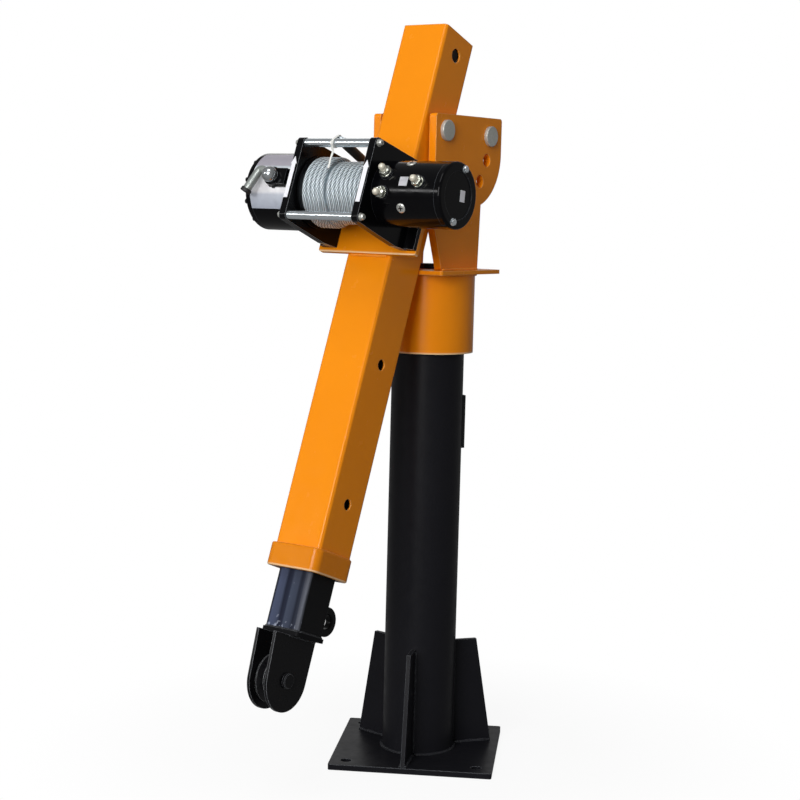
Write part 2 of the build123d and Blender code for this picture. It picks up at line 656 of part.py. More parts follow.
def make_frame(side, inner):
    """One winch frame from its inner face outward; side is 1 at the motor and -1 at the gearbox."""
    frame_outer = inner + FRAME_T
    with BuildPart() as winch_frame:
        with BuildSketch(WINCH.offset(side * inner)):
            with BuildLine():
                Polyline(
                    (frame_front, -TIE_ROD_ASIDE),
                    (TIE_ROD_OUT, -(TIE_ROD_ASIDE + TIE_EAR_R)),
                    (-WINCH_HEIGHT, -FRAME_TOP),
                    (-WINCH_HEIGHT, FRAME_BOTTOM),
                    (FRAME_BELLY_BACK, FRAME_BELLY),
                    (FRAME_BELLY_FRONT, FRAME_BELLY),
                    (TIE_ROD_OUT, TIE_ROD_ASIDE + TIE_EAR_R),
                    (frame_front, TIE_ROD_ASIDE),
                    close=True,
                )
            make_face()
            with Locations(*tie_places):
                Circle(TIE_EAR_R)
            Circle(FRAME_BORE_D / 2, mode=Mode.SUBTRACT)
            with Locations(*tie_places):
                Circle(TIE_BOLT_D / 2 + FACE_GAP, mode=Mode.SUBTRACT)
        extrude(amount=side * FRAME_T)
        with BuildSketch(WINCH.offset(side * frame_outer)):
            with Locations((FOOT_T / 2 - WINCH_HEIGHT, (FRAME_BOTTOM - FRAME_TOP) / 2)):
                Rectangle(FOOT_T, FRAME_BOTTOM + FRAME_TOP)
        extrude(amount=side * FOOT_REACH)
        foot_middle = (FRAME_BOTTOM - FRAME_TOP) / 2
        corner = WINCH.from_local_coords((FOOT_T - WINCH_HEIGHT, foot_middle, side * frame_outer))
        heel = winch_frame.edges().filter_by(Axis(WINCH.origin, WINCH.y_dir)).sort_by_distance(corner)[0]
        fillet(heel, radius=FOOT_FILLET_R)
        with BuildSketch(cross_plane(BOOM, mount_face)):
            with Locations(*[place for place in foot_bolt_places if place[0] * side > 0]):
                Circle(FOOT_BOLT_D / 2 + FACE_GAP)
        extrude(amount=FOOT_BOLT_REACH + 1.0, mode=Mode.SUBTRACT)
    return winch_frame


winch_frame_right = make_frame(1, FRAME_RIGHT)
finish(winch_frame_right, "winch_frame_right")
winch_frame_left = make_frame(-1, FRAME_LEFT)
finish(winch_frame_left, "winch_frame_left")

# Tie rods between the frames, tapped at both ends, with their cap screws and washers
with BuildPart() as tie_rods:
    with BuildSketch(WINCH.offset(-FRAME_LEFT)):
        with Locations(*tie_places):
            Circle(TIE_ROD_D / 2)
    extrude(amount=FRAME_LEFT + FRAME_RIGHT)
    for side, inner in frame_sides:
        with BuildSketch(WINCH.offset(side * inner)):
            with Locations(*tie_places):
                Circle(TIE_BOLT_D / 2 + FACE_GAP)
        extrude(amount=-side * (TIE_BOLT_REACH + 1.0), mode=Mode.SUBTRACT)
finish(tie_rods, "tie_rods")

with BuildPart() as tie_rod_bolts:
    for side, inner in frame_sides:
        frame_outer = inner + FRAME_T
        layers = (
            (frame_outer, TIE_WASHER_D, TIE_WASHER_T),
            (frame_outer + TIE_WASHER_T, TIE_BOLT_HEAD_D, TIE_BOLT_HEAD_H),
            (inner - TIE_BOLT_REACH, TIE_BOLT_D, TIE_BOLT_REACH + FRAME_T),
        )
        for start, diameter, length in layers:
            with BuildSketch(WINCH.offset(side * start)):
                with Locations(*tie_places):
                    Circle(diameter / 2)
            extrude(amount=side * length)
    for side, inner in frame_sides:
        head_top = inner + FRAME_T + TIE_WASHER_T + TIE_BOLT_HEAD_H
        with BuildSketch(WINCH.offset(side * head_top)):
            with Locations(*tie_places):
                RegularPolygon(TIE_BOLT_D * 0.42, 6, major_radius=False)
        extrude(amount=-side * TIE_BOLT_HEAD_H / 2, mode=Mode.SUBTRACT)
finish(tie_rod_bolts, "tie_rod_bolts")

# Foot bolts: hexagon bolts with washers from behind the bracket, tapped into the frames
with BuildPart() as foot_bolts:
    bolt_layers = (
        (BOOM_W / 2 - FOOT_WASHER_T, BRACKET_T + FOOT_WASHER_T + FOOT_BOLT_REACH, FOOT_BOLT_D),
        (BOOM_W / 2 - FOOT_WASHER_T, FOOT_WASHER_T, FOOT_WASHER_D),
    )
    for start, length, diameter in bolt_layers:
        with BuildSketch(cross_plane(BOOM, start)):
            with Locations(*foot_bolt_places):
                Circle(diameter / 2)
        extrude(amount=length)
    with BuildSketch(cross_plane(BOOM, BOOM_W / 2 - FOOT_WASHER_T)):
        with Locations(*foot_bolt_places):
            RegularPolygon(FOOT_BOLT_HEX / 2, 6, major_radius=False)
    extrude(amount=-FOOT_BOLT_HEAD_H)
finish(foot_bolts, "foot_bolts")

# Motor can: drawn cup with terminal bosses, closed at the frame by its own front wall
motor_front = frame_right_outer
motor_back = motor_front + MOTOR_LENGTH
motor_bore = MOTOR_D / 2 - MOTOR_WALL
terminal_places = [
    (motor_front + TERMINAL_UPPER_PLACE, TERMINAL_UPPER_ANGLE),
    (motor_front + TERMINAL_LOWER_PLACE, TERMINAL_LOWER_ANGLE),
    (motor_front + TERMINAL_FAR_PLACE, 0.0),
]
pole_angles = [45 + i * 360 / MAGNET_COUNT for i in range(MAGNET_COUNT)]
boss_top = MOTOR_D / 2 + TERMINAL_BOSS_H
with BuildPart() as motor_can:
    with BuildSketch(WINCH.offset(motor_front)):
        Circle(MOTOR_D / 2)
    extrude(amount=MOTOR_LENGTH)
    for place, angle in terminal_places:
        with BuildSketch(radial_plane(boss_top, angle, place)):
            Circle(TERMINAL_BOSS_D / 2)
        extrude(amount=-MOTOR_WALL)
    with BuildSketch(WINCH.offset(motor_front + MOTOR_FRONT_WALL)):
        Circle(motor_bore)
    extrude(amount=MOTOR_LENGTH - MOTOR_FRONT_WALL, mode=Mode.SUBTRACT)
    with BuildSketch(WINCH.offset(motor_front)):
        Circle(BEARING_D / 2)
    extrude(amount=MOTOR_FRONT_WALL, mode=Mode.SUBTRACT)
    for place, angle in terminal_places:
        with BuildSketch(radial_plane(boss_top, angle, place)):
            Circle(TERMINAL_STUD_D / 2 + FACE_GAP)
        extrude(amount=-(TERMINAL_BOSS_H + 2 * MOTOR_WALL), mode=Mode.SUBTRACT)
    for angle in pole_angles:
        with BuildSketch(radial_plane(MOTOR_D / 2 + MOTOR_WALL, angle, motor_front + POLE_SCREW_PLACE)):
            Circle(POLE_SCREW_D / 2 + FACE_GAP)
        extrude(amount=-3 * MOTOR_WALL, mode=Mode.SUBTRACT)
finish(motor_can, "motor_can")

# Motor end cap with its bearing pocket, held by two through bolts
through_places = ((0, -THROUGH_BOLT_CIRCLE), (0, THROUGH_BOLT_CIRCLE))
with BuildPart() as motor_end_cap:
    with BuildSketch(WINCH.offset(motor_back)):
        Circle(MOTOR_D / 2)
    extrude(amount=END_CAP_T)
    cap_face = motor_end_cap.faces().sort_by(WINCH_AXIS)[-1]
    fillet(cap_face.edges(), radius=END_CAP_EDGE_R)
    with BuildSketch(WINCH.offset(motor_back + END_CAP_T)):
        Circle(END_CAP_RECESS_R)
    extrude(amount=-END_CAP_RECESS, mode=Mode.SUBTRACT)
    with BuildSketch(WINCH.offset(motor_back)):
        Circle(BEARING_D / 2)
    extrude(amount=BEARING_T + FACE_GAP, mode=Mode.SUBTRACT)
    with BuildSketch(WINCH.offset(motor_back)):
        with Locations(*through_places):
            Circle(THROUGH_BOLT_D / 2 + FACE_GAP)
    extrude(amount=END_CAP_T, mode=Mode.SUBTRACT)
finish(motor_end_cap, "motor_end_cap")

bolt_seat = motor_back + END_CAP_T
with BuildPart() as motor_through_bolts:
    with BuildSketch(WINCH.offset(bolt_seat)):
        with Locations(*through_places):
            Circle(THROUGH_BOLT_HEAD_D / 2)
    extrude(amount=THROUGH_BOLT_HEAD_H)
    with BuildSketch(WINCH.offset(bolt_seat)):
        with Locations(*through_places):
            Circle(THROUGH_BOLT_D / 2)
    extrude(amount=-(END_CAP_T - FACE_GAP))
    for place in through_places:
        with BuildSketch(WINCH.offset(bolt_seat + THROUGH_BOLT_HEAD_H)):
            with Locations(place):
                Rectangle(2 * THROUGH_BOLT_HEAD_D, THROUGH_BOLT_HEAD_D / 6)
        extrude(amount=-THROUGH_BOLT_HEAD_H / 2, mode=Mode.SUBTRACT)
finish(motor_through_bolts, "motor_through_bolts")

# Motor terminals: three threaded studs with hexagon nuts
with BuildPart() as motor_terminals:
    for place, angle in terminal_places:
        with BuildSketch(radial_plane(motor_bore + FACE_GAP, angle, place)):
            Circle(TERMINAL_STUD_D / 2)
        extrude(amount=boss_top - motor_bore - FACE_GAP + TERMINAL_STUD_H)
        stud_axis = Axis(WINCH.origin, radial_plane(boss_top, angle, place).z_dir)
        fillet(motor_terminals.faces().sort_by(stud_axis)[-1].edges(), radius=TERMINAL_STUD_ROUND)
        with BuildSketch(radial_plane(boss_top, angle, place)):
            RegularPolygon(TERMINAL_NUT_HEX / 2, 6, major_radius=False)
            Circle(TERMINAL_STUD_D / 2 + FACE_GAP, mode=Mode.SUBTRACT)
        extrude(amount=TERMINAL_NUT_H)
finish(motor_terminals, "motor_terminals")

# Pole screws: slotted heads that hold the field magnets in the can
with BuildPart() as pole_screws:
    for angle in pole_angles:
        head_out = radial_plane(MOTOR_D / 2 + POLE_SCREW_PROUD, angle, motor_front + POLE_SCREW_PLACE)
        with BuildSketch(head_out):
            Circle(POLE_SCREW_D / 2)
        extrude(amount=-(MOTOR_WALL + POLE_SCREW_PROUD - FACE_GAP))
        with BuildSketch(head_out):
            Rectangle(POLE_SCREW_SLOT, POLE_SCREW_D + MOTOR_WALL, rotation=35)
        extrude(amount=-POLE_SCREW_SLOT, mode=Mode.SUBTRACT)
finish(pole_screws, "pole_screws")

# Field magnets: four arcs against the can's bore
magnet_out = motor_bore - FACE_GAP
magnet_in = magnet_out - MAGNET_T
with BuildPart() as field_magnets:
    with BuildSketch(WINCH.offset(motor_front + MAGNET_START)):
        Circle(magnet_out)
        Circle(magnet_in, mode=Mode.SUBTRACT)
        for angle in pole_angles:
            with PolarLocations(0, 1, start_angle=angle + 180 / MAGNET_COUNT):
                opening = 360 / MAGNET_COUNT - MAGNET_SPAN
                width = 2 * magnet_out * sin(radians(opening / 2))
                with Locations((magnet_out, 0)):
                    Rectangle(3 * MAGNET_T, width, mode=Mode.SUBTRACT)
    extrude(amount=MAGNET_LENGTH)
finish(field_magnets, "field_magnets")

# Armature: laminated core, coil ends and commutator on the drive shaft
core_front = motor_front + CORE_START
core_back = core_front + CORE_LENGTH
commutator_front = core_back + COIL_LENGTH
with BuildPart() as armature:
    spans = (
        (core_front - COIL_LENGTH, COIL_R, COIL_LENGTH),
        (core_front, magnet_in - AIR_GAP, CORE_LENGTH),
        (core_back, COIL_R, COIL_LENGTH),
        (commutator_front, COMMUTATOR_R, COMMUTATOR_LENGTH),
    )
    for start, radius, length in spans:
        with BuildSketch(WINCH.offset(start)):
            Circle(radius)
        extrude(amount=length)
    with BuildSketch(WINCH.offset(core_front - COIL_LENGTH)):
        Circle(SHAFT_D / 2)
    extrude(amount=CORE_LENGTH + 2 * COIL_LENGTH + COMMUTATOR_LENGTH, mode=Mode.SUBTRACT)
finish(armature, "armature")

# Brush gear: insulating ring in the can with two carbon brushes standing on the commutator
brush_plate_front = commutator_front + COMMUTATOR_LENGTH + 1.0
with BuildPart() as brush_gear:
    with BuildSketch(WINCH.offset(brush_plate_front)):
        Circle(motor_bore - FACE_GAP)
        Circle(COMMUTATOR_R + BRUSH_GAP, mode=Mode.SUBTRACT)
    extrude(amount=BRUSH_PLATE_T)
    for side in (-1, 1):
        with BuildSketch(WINCH.offset(brush_plate_front)):
            with Locations((side * (COMMUTATOR_R + BRUSH_GAP + BRUSH_SIZE / 2), 0)):
                Rectangle(BRUSH_SIZE, BRUSH_SIZE)
        extrude(amount=-(COMMUTATOR_LENGTH - 1.0))
finish(brush_gear, "brush_gear")

# Shaft bearings: plain bushes in the can's front wall and in the end cap
with BuildPart() as shaft_bearings:
    for start in (motor_front, motor_back):
        with BuildSketch(WINCH.offset(start)):
            Circle(BEARING_D / 2)
            Circle(SHAFT_D / 2 + RUNNING_FIT, mode=Mode.SUBTRACT)
        extrude(amount=min(BEARING_T, MOTOR_FRONT_WALL))
finish(shaft_bearings, "shaft_bearings")

# Gearbox: cup housing on the other frame with the clutch boss, an end cover and its screws
gearbox_front = -frame_left_outer
gearbox_back = gearbox_front - GEARBOX_LENGTH
gearbox_bore = GEARBOX_D / 2 - GEARBOX_WALL
journal_clear = JOURNAL_D / 2 + 1.0
clutch_place = gearbox_front - CLUTCH_PLACE
clutch_top = GEARBOX_D / 2 + CLUTCH_BOSS_H
with BuildPart() as gearbox_housing:
    with BuildSketch(WINCH.offset(gearbox_front)):
        Circle(GEARBOX_D / 2)
    extrude(amount=-GEARBOX_LENGTH)
    with BuildSketch(radial_plane(clutch_top, 0, clutch_place)):
        Circle(CLUTCH_BOSS_D / 2)
        with Locations((CLUTCH_BLOCK_L / 2, 0)):
            Rectangle(CLUTCH_BLOCK_L, CLUTCH_BLOCK_W)
    extrude(amount=-(CLUTCH_BOSS_H + GEARBOX_WALL))
    with BuildSketch(WINCH.offset(gearbox_front - GEARBOX_WALL)):
        Circle(gearbox_bore)
    extrude(amount=-(GEARBOX_LENGTH - GEARBOX_WALL), mode=Mode.SUBTRACT)
    with BuildSketch(WINCH.offset(gearbox_front)):
        Circle(journal_clear)
    extrude(amount=-GEARBOX_WALL, mode=Mode.SUBTRACT)
    with BuildSketch(radial_plane(clutch_top, 0, clutch_place)):
        Circle(CLUTCH_SPINDLE_D / 2 + RUNNING_FIT)
    extrude(amount=-(CLUTCH_SPINDLE_L + FACE_GAP), mode=Mode.SUBTRACT)
finish(gearbox_housing, "gearbox_housing")

with BuildPart() as gearbox_cover:
    with BuildSketch(WINCH.offset(gearbox_back)):
        Circle(GEARBOX_D / 2)
    extrude(amount=-COVER_T)
    cover_face = gearbox_cover.faces().sort_by(WINCH_AXIS)[0]
    fillet(cover_face.edges(), radius=COVER_EDGE_R)
    with BuildSketch(WINCH.offset(gearbox_back)):
        Circle(COVER_BOSS_R)
    extrude(amount=COVER_BOSS_LENGTH)
    with BuildSketch(WINCH.offset(gearbox_back - COVER_T / 2)):
        Circle(SHAFT_D / 2 + RUNNING_FIT)
    extrude(amount=COVER_T / 2 + COVER_BOSS_LENGTH, mode=Mode.SUBTRACT)
    with BuildSketch(WINCH.offset(gearbox_back)):
        with PolarLocations(COVER_SCREW_CIRCLE, COVER_SCREW_COUNT, start_angle=COVER_SCREW_TURN):
            Circle(COVER_SCREW_D / 2 + FACE_GAP)
    extrude(amount=-COVER_T, mode=Mode.SUBTRACT)
finish(gearbox_cover, "gearbox_cover")

with BuildPart() as cover_screws:
    with BuildSketch(WINCH.offset(gearbox_back - COVER_T)):
        with PolarLocations(COVER_SCREW_CIRCLE, COVER_SCREW_COUNT, start_angle=COVER_SCREW_TURN):
            Circle(COVER_SCREW_HEAD_D / 2)
    extrude(amount=-COVER_SCREW_HEAD_H)
    with BuildSketch(WINCH.offset(gearbox_back - COVER_T)):
        with PolarLocations(COVER_SCREW_CIRCLE, COVER_SCREW_COUNT, start_angle=COVER_SCREW_TURN):
            Circle(COVER_SCREW_D / 2)
    extrude(amount=COVER_T - FACE_GAP)
finish(cover_screws, "cover_screws")

# Planetary gears: straight-flanked teeth with backlash, in mesh at rest
gear_start = gearbox_front - GEARBOX_WALL - CARRIER_T - 3 * GEAR_SIDE_GAP
planet_circle = MODULE * (SUN_TEETH + PLANET_TEETH) / 2


def tooth_points(teeth, tip, root, share, turn):
    """Closed outline of a toothed disc: tip and root are radii, share is tooth over pitch."""
    pitch_r = MODULE * teeth / 2
    half = share * pi * MODULE / 2
    slope = tan(radians(PRESSURE_ANGLE))
    points = []
    for i in range(teeth):
        middle = 2 * pi * i / teeth + radians(turn)
        for radius, sign in ((root, -1), (tip, -1), (tip, 1), (root, 1)):
            angle = middle + sign * (half - (radius - pitch_r) * slope) / radius
            points.append((radius * cos(angle), radius * sin(angle)))
    return points


def external_outline(teeth, turn):
    """Outline of an outside gear, its first tooth turned by the given angle."""
    pitch_r = MODULE * teeth / 2
    return tooth_points(teeth, pitch_r + ADDENDUM * MODULE, pitch_r - DEDENDUM * MODULE, TOOTH_SHARE, turn)


with BuildPart() as sun_gear:
    with BuildSketch(WINCH.offset(gear_start)):
        Polygon(*external_outline(SUN_TEETH, 0), align=None)
        Circle(SHAFT_D / 2, mode=Mode.SUBTRACT)
    extrude(amount=-GEAR_W)
finish(sun_gear, "sun_gear")

for number in range(PLANET_COUNT):
    spoke = 360 * number / PLANET_COUNT
    centre = (planet_circle * cos(radians(spoke)), planet_circle * sin(radians(spoke)))
    with BuildPart() as planet_gear:
        with BuildSketch(WINCH.offset(gear_start)):
            with Locations(centre):
                Polygon(*external_outline(PLANET_TEETH, spoke + 180 / PLANET_TEETH), align=None)
                Circle(PLANET_PIN_D / 2 + RUNNING_FIT, mode=Mode.SUBTRACT)
        extrude(amount=-GEAR_W)
    finish(planet_gear, f"planet_gear_{number + 1}")

with BuildPart() as ring_gear:
    ring_pitch_r = MODULE * RING_TEETH / 2
    space_tip = ring_pitch_r + DEDENDUM * MODULE
    space_root = ring_pitch_r - ADDENDUM * MODULE
    with BuildSketch(WINCH.offset(gear_start)):
        Circle(gearbox_bore)
        Polygon(
            *tooth_points(RING_TEETH, space_tip, space_root, 1 - TOOTH_SHARE, 180 / RING_TEETH),
            align=None,
            mode=Mode.SUBTRACT,
        )
    extrude(amount=-GEAR_W)
finish(ring_gear, "ring_gear")

# Planet carrier: disc on the drum's journal with three planet pins
carrier_front = gear_start + CARRIER_T + GEAR_SIDE_GAP
with BuildPart() as planet_carrier:
    with BuildSketch(WINCH.offset(carrier_front)):
        Circle(CARRIER_R)
        Circle(DRUM_BORE_D / 2, mode=Mode.SUBTRACT)
    extrude(amount=-CARRIER_T)
    with BuildSketch(WINCH.offset(carrier_front - CARRIER_T)):
        with PolarLocations(planet_circle, PLANET_COUNT):
            Circle(PLANET_PIN_D / 2)
    extrude(amount=-(GEAR_W + 2 * GEAR_SIDE_GAP))
finish(planet_carrier, "planet_carrier")

# Drive shaft: from the motor's end cap through the hollow drum to the sun gear and cover
shaft_left = gearbox_back - COVER_T / 2 + FACE_GAP
shaft_right = motor_back + BEARING_T
with BuildPart() as drive_shaft:
    with BuildSketch(WINCH.offset(shaft_left)):
        Circle(SHAFT_D / 2)
    extrude(amount=shaft_right - shaft_left)
finish(drive_shaft, "drive_shaft")

# Drum: hollow barrel with two flanges and journals, and a lug on each flange for the rope ends
flange_left = FRAME_LEFT - DRUM_SIDE_GAP
flange_right = FRAME_RIGHT - DRUM_SIDE_GAP
barrel_left = flange_left - DRUM_FLANGE_T
barrel_right = flange_right - DRUM_FLANGE_T
rope_first = ROPE_FLANGE_GAP - barrel_left
rope_last = rope_first + ROPE_TURNS * ROPE_PITCH


def rope_radius(turns):
    """Rope centre radius: high over the first turns, one layer lower after a half-turn step."""
    step = min(max((turns - ROPE_HIGH_TURNS) / 0.5, 0.0), 1.0)
    return ROPE_HIGH_R + (ROPE_LOW_R - ROPE_HIGH_R) * (1 - cos(pi * step)) / 2


def rope_point(turns):
    """Rope centre after a number of turns, in the winch's frame."""
    angle = radians(ROPE_END_ANGLE + 360 * turns)
    radius = rope_radius(turns)
    return WINCH.from_local_coords((radius * cos(angle), radius * sin(angle), rope_first + turns * ROPE_PITCH))


def rope_heading(turns):
    """Unit heading of the rope centre line after a number of turns."""
    small = 1e-4
    return (rope_point(turns + small) - rope_point(turns - small)).normalized()


def lug_plane(turns, sign):
    """Square to the rope's end, one rope diameter past the last turn."""
    heading = rope_heading(turns) * sign
    return Plane(origin=rope_point(turns) + heading * ROPE_D, x_dir=WINCH.z_dir, z_dir=heading)


with BuildPart() as drum:
    with BuildSketch(WINCH.offset(-barrel_left)):
        Circle(DRUM_CORE_D / 2)
    extrude(amount=barrel_left + barrel_right)
    for side, start in ((-1, barrel_left), (1, barrel_right)):
        with BuildSketch(WINCH.offset(side * start)):
            Circle(DRUM_FLANGE_D / 2)
        extrude(amount=side * DRUM_FLANGE_T)
    with BuildSketch(WINCH.offset(flange_right)):
        Circle(JOURNAL_D / 2)
    extrude(amount=frame_right_outer - flange_right - DRUM_SIDE_GAP / 2)
    with BuildSketch(WINCH.offset(-flange_left)):
        Circle(JOURNAL_D / 2)
    extrude(amount=carrier_front + flange_left)
    for turns, sign, room in ((0, -1, barrel_left + rope_first), (ROPE_TURNS, 1, barrel_right - rope_last)):
        with BuildSketch(lug_plane(turns, sign)):
            with Locations((sign * (room - ROPE_LUG_W / 2), 0)):
                Rectangle(ROPE_LUG_W, ROPE_D)
        extrude(amount=ROPE_LUG_LENGTH)
    with BuildSketch(WINCH.offset(carrier_front)):
        Circle(DRUM_BORE_D / 2)
    extrude(amount=frame_right_outer - carrier_front, mode=Mode.SUBTRACT)
finish(drum, "drum")

# Drum bushes: plain bushes in the frames, running on the drum's journals
with BuildPart() as drum_bushes:
    for side, inner in frame_sides:
        with BuildSketch(WINCH.offset(side * inner)):
            Circle(FRAME_BORE_D / 2)
            Circle(JOURNAL_D / 2 + RUNNING_FIT, mode=Mode.SUBTRACT)
        extrude(amount=side * (FRAME_T - FACE_GAP))
finish(drum_bushes, "drum_bushes")

# Rope core: the inner layers of rope as one plain stepped sleeve under the outer turns
bed_high = ROPE_HIGH_R - ROPE_D / 2 - ROPE_BED_GAP
bed_low = ROPE_LOW_R - ROPE_D / 2 - ROPE_BED_GAP
bed_step = rope_first + ROPE_HIGH_TURNS * ROPE_PITCH - ROPE_PITCH / 2
with BuildPart() as rope_core:
    with BuildSketch(WINCH.offset(-barrel_left)):
        Circle(bed_low)
    extrude(amount=barrel_left + barrel_right)
    with BuildSketch(WINCH.offset(-barrel_left)):
        Circle(bed_high)
    extrude(amount=barrel_left + bed_step)
    with BuildSketch(WINCH.offset(-barrel_left)):
        Circle(DRUM_CORE_D / 2)
    extrude(amount=barrel_left + barrel_right, mode=Mode.SUBTRACT)
finish(rope_core, "rope_core")

# Rope winding: one unbroken tube of thirteen turns, drawn as two tangent arcs per quarter turn
QUARTERS = 4 * ROPE_TURNS
with BuildPart() as rope_winding:
    with BuildLine() as rope_path:
        first, last = rope_point(0), rope_point(ROPE_TURNS)
        Line(first - rope_heading(0) * ROPE_D, first)
        for i in range(QUARTERS):
            start, end = rope_point(i / 4), rope_point((i + 1) / 4)
            out, back = rope_heading(i / 4), rope_heading((i + 1) / 4)
            chord = end - start
            lean = chord.dot(out + back)
            bend = 2 * (1 - out.dot(back))
            reach = (hypot(lean, (bend * chord.dot(chord)) ** 0.5) - lean) / bend
            near, far = start + out * reach, end - back * reach
            joint = (near + far) * 0.5
            TangentArc(start, joint, tangent=out)
            TangentArc(joint, end, tangent=far - near)
        Line(last, last + rope_heading(ROPE_TURNS) * ROPE_D)
    with BuildSketch(Plane(origin=first - rope_heading(0) * ROPE_D, z_dir=rope_heading(0))):
        Circle(ROPE_D / 2)
    sweep()
finish(rope_winding, "rope_winding")

samples = [rope_point(i / 72) for i in range(72 * ROPE_TURNS + 1)]
pairs = [(near, far) for i, near in enumerate(samples) for far in samples[i + 36:i + 108]]
rope_gap = min((near - far).length for near, far in pairs) - ROPE_D
print("rope winding least gap to itself, mm:", round(rope_gap, 2))

# Rope eye: the rope's looped end in a sleeved ferrule, its bow strapped to the upper tie rod
leg_angle = radians(EYE_LEG_ANGLE)
eye_radius = (EYE_LEG_SPREAD / 2 + EYE_LEG * sin(leg_angle)) / cos(leg_angle)
eye_length = EYE_LEG * cos(leg_angle) + eye_radius * (1 + sin(leg_angle))
bow_reach = TIE_ROD_D / 2 + ROPE_D / 2 + ROPE_EYE_GAP
bow_x = TIE_ROD_OUT - bow_reach * cos(radians(ROPE_EYE_BEARING))
bow_y = -TIE_ROD_ASIDE - bow_reach * sin(radians(ROPE_EYE_BEARING))
eye_tilt = radians(ROPE_EYE_TILT)
eye_root = (bow_x - eye_length * cos(eye_tilt), bow_y + eye_length * sin(eye_tilt), ROPE_EYE_AXIAL)
eye_plane = Plane(
    origin=WINCH.from_local_coords(eye_root),
    x_dir=WINCH.z_dir,
    z_dir=WINCH.y_dir * cos(eye_tilt) + WINCH.x_dir * sin(eye_tilt),
)
eye_back = Plane(origin=eye_plane.origin, x_dir=eye_plane.x_dir, z_dir=-eye_plane.y_dir)
with BuildPart() as rope_eye:
    with BuildLine(eye_plane) as eye_path:
        leg_start = (-EYE_LEG_SPREAD / 2, 0)
        leg_end = (-EYE_LEG_SPREAD / 2 - EYE_LEG * sin(leg_angle), EYE_LEG * cos(leg_angle))
        Line(leg_start, leg_end)
        bow = JernArc(leg_end, (-sin(leg_angle), cos(leg_angle)), eye_radius, -(180 + 2 * EYE_LEG_ANGLE))
        Line(bow @ 1, (EYE_LEG_SPREAD / 2, 0))
    with BuildSketch(Plane(origin=eye_path.line @ 0, z_dir=eye_path.line % 0)):
        Circle(ROPE_D / 2)
    sweep()
    with BuildSketch(eye_back.offset(-EYE_SLEEVE_LAP)):
        Circle(EYE_SLEEVE_D / 2)
    extrude(amount=EYE_SLEEVE_LENGTH)
    far_end = rope_eye.faces().sort_by(Axis(eye_back.origin, eye_back.z_dir))[-1]
    fillet(far_end.edges(), radius=EYE_SLEEVE_ROUND)
    with BuildSketch(eye_back.offset(EYE_SLEEVE_LENGTH / 2)):
        Circle(ROPE_D / 2)
    extrude(amount=EYE_SLEEVE_LENGTH / 2 - EYE_SLEEVE_LAP + ROPE_STUB)
finish(rope_eye, "rope_eye")

# Tie strap: plastic strap round the upper tie rod and the bow of the rope eye
strap_plane = WINCH.offset(ROPE_EYE_AXIAL - TIE_STRAP_W / 2)
with BuildPart() as tie_strap:
    with BuildSketch(strap_plane):
        for grow, mode in ((TIE_STRAP_T, Mode.ADD), (0.0, Mode.SUBTRACT)):
            with BuildSketch(mode=mode):
                with Locations(tie_places[0]):
                    Circle(TIE_ROD_D / 2 + FACE_GAP + grow)
                with Locations((bow_x, bow_y)):
                    Circle(ROPE_D / 2 + BOLT_CLEARANCE + grow)
                make_hull()
    extrude(amount=TIE_STRAP_W)
finish(tie_strap, "tie_strap")

# Clutch lever: plated hub on a spindle with a bent tubular handle
lever_sheet = radial_plane(clutch_top + LEVER_D / 2 + BOLT_CLEARANCE, 0, clutch_place)
with BuildPart() as clutch_lever:
    with BuildSketch(radial_plane(clutch_top + FACE_GAP, 0, clutch_place)):
        Circle(CLUTCH_HUB_D / 2)
    extrude(amount=CLUTCH_HUB_H)
    hub_top = clutch_lever.faces().sort_by(Axis(WINCH.origin, WINCH.x_dir))[-1]
    fillet(hub_top.edges(), radius=CLUTCH_HUB_H / 3)
    with BuildSketch(radial_plane(clutch_top + FACE_GAP, 0, clutch_place)):
        Circle(CLUTCH_SPINDLE_D / 2)
    extrude(amount=-CLUTCH_SPINDLE_L)
    with BuildLine(lever_sheet) as lever_path:
        elbow = (LEVER_ELBOW[0], -LEVER_ELBOW[1])
        tip = (LEVER_TIP[0], -LEVER_TIP[1])
        FilletPolyline((0, 0), elbow, tip, radius=LEVER_ELBOW_R)
    with BuildSketch(Plane(origin=lever_path.line @ 0, z_dir=lever_path.line % 0)):
        Circle(LEVER_D / 2)
    sweep()
    with BuildSketch(Plane(origin=lever_path.line @ 1, z_dir=-(lever_path.line % 1))):
        Circle(LEVER_BORE_D / 2)
    extrude(amount=LEVER_BORE_DEPTH, mode=Mode.SUBTRACT)
finish(clutch_lever, "clutch_lever")

# Extension: square tube sliding in the boom, drilled to match its pin holes
with BuildPart() as extension_tube:
    with BuildSketch(BOOM.offset(-extension_top)):
        RectangleRounded(EXTENSION_W, EXTENSION_W, EXTENSION_CORNER_R)
        bore_w = EXTENSION_W - 2 * EXTENSION_WALL
        RectangleRounded(bore_w, bore_w, EXTENSION_CORNER_R / 2, mode=Mode.SUBTRACT)
    extrude(amount=-EXTENSION_LENGTH)
    with BuildSketch(side_plane(BOOM)):
        with Locations(*extension_pin_places):
            Circle(EXTENSION_PIN_HOLE_D / 2)
    extrude(amount=EXTENSION_W, both=True, mode=Mode.SUBTRACT)
finish(extension_tube, "extension_tube")

# End plate closing the extension, which carries the sheave cheeks
sheave_level = extension_end + END_PLATE_T + SHEAVE_DROP
with BuildPart() as end_plate:
    with BuildSketch(BOOM.offset(-extension_end)):
        RectangleRounded(END_PLATE_W, END_PLATE_W, EXTENSION_CORNER_R)
    extrude(amount=-END_PLATE_T)
finish(end_plate, "end_plate")

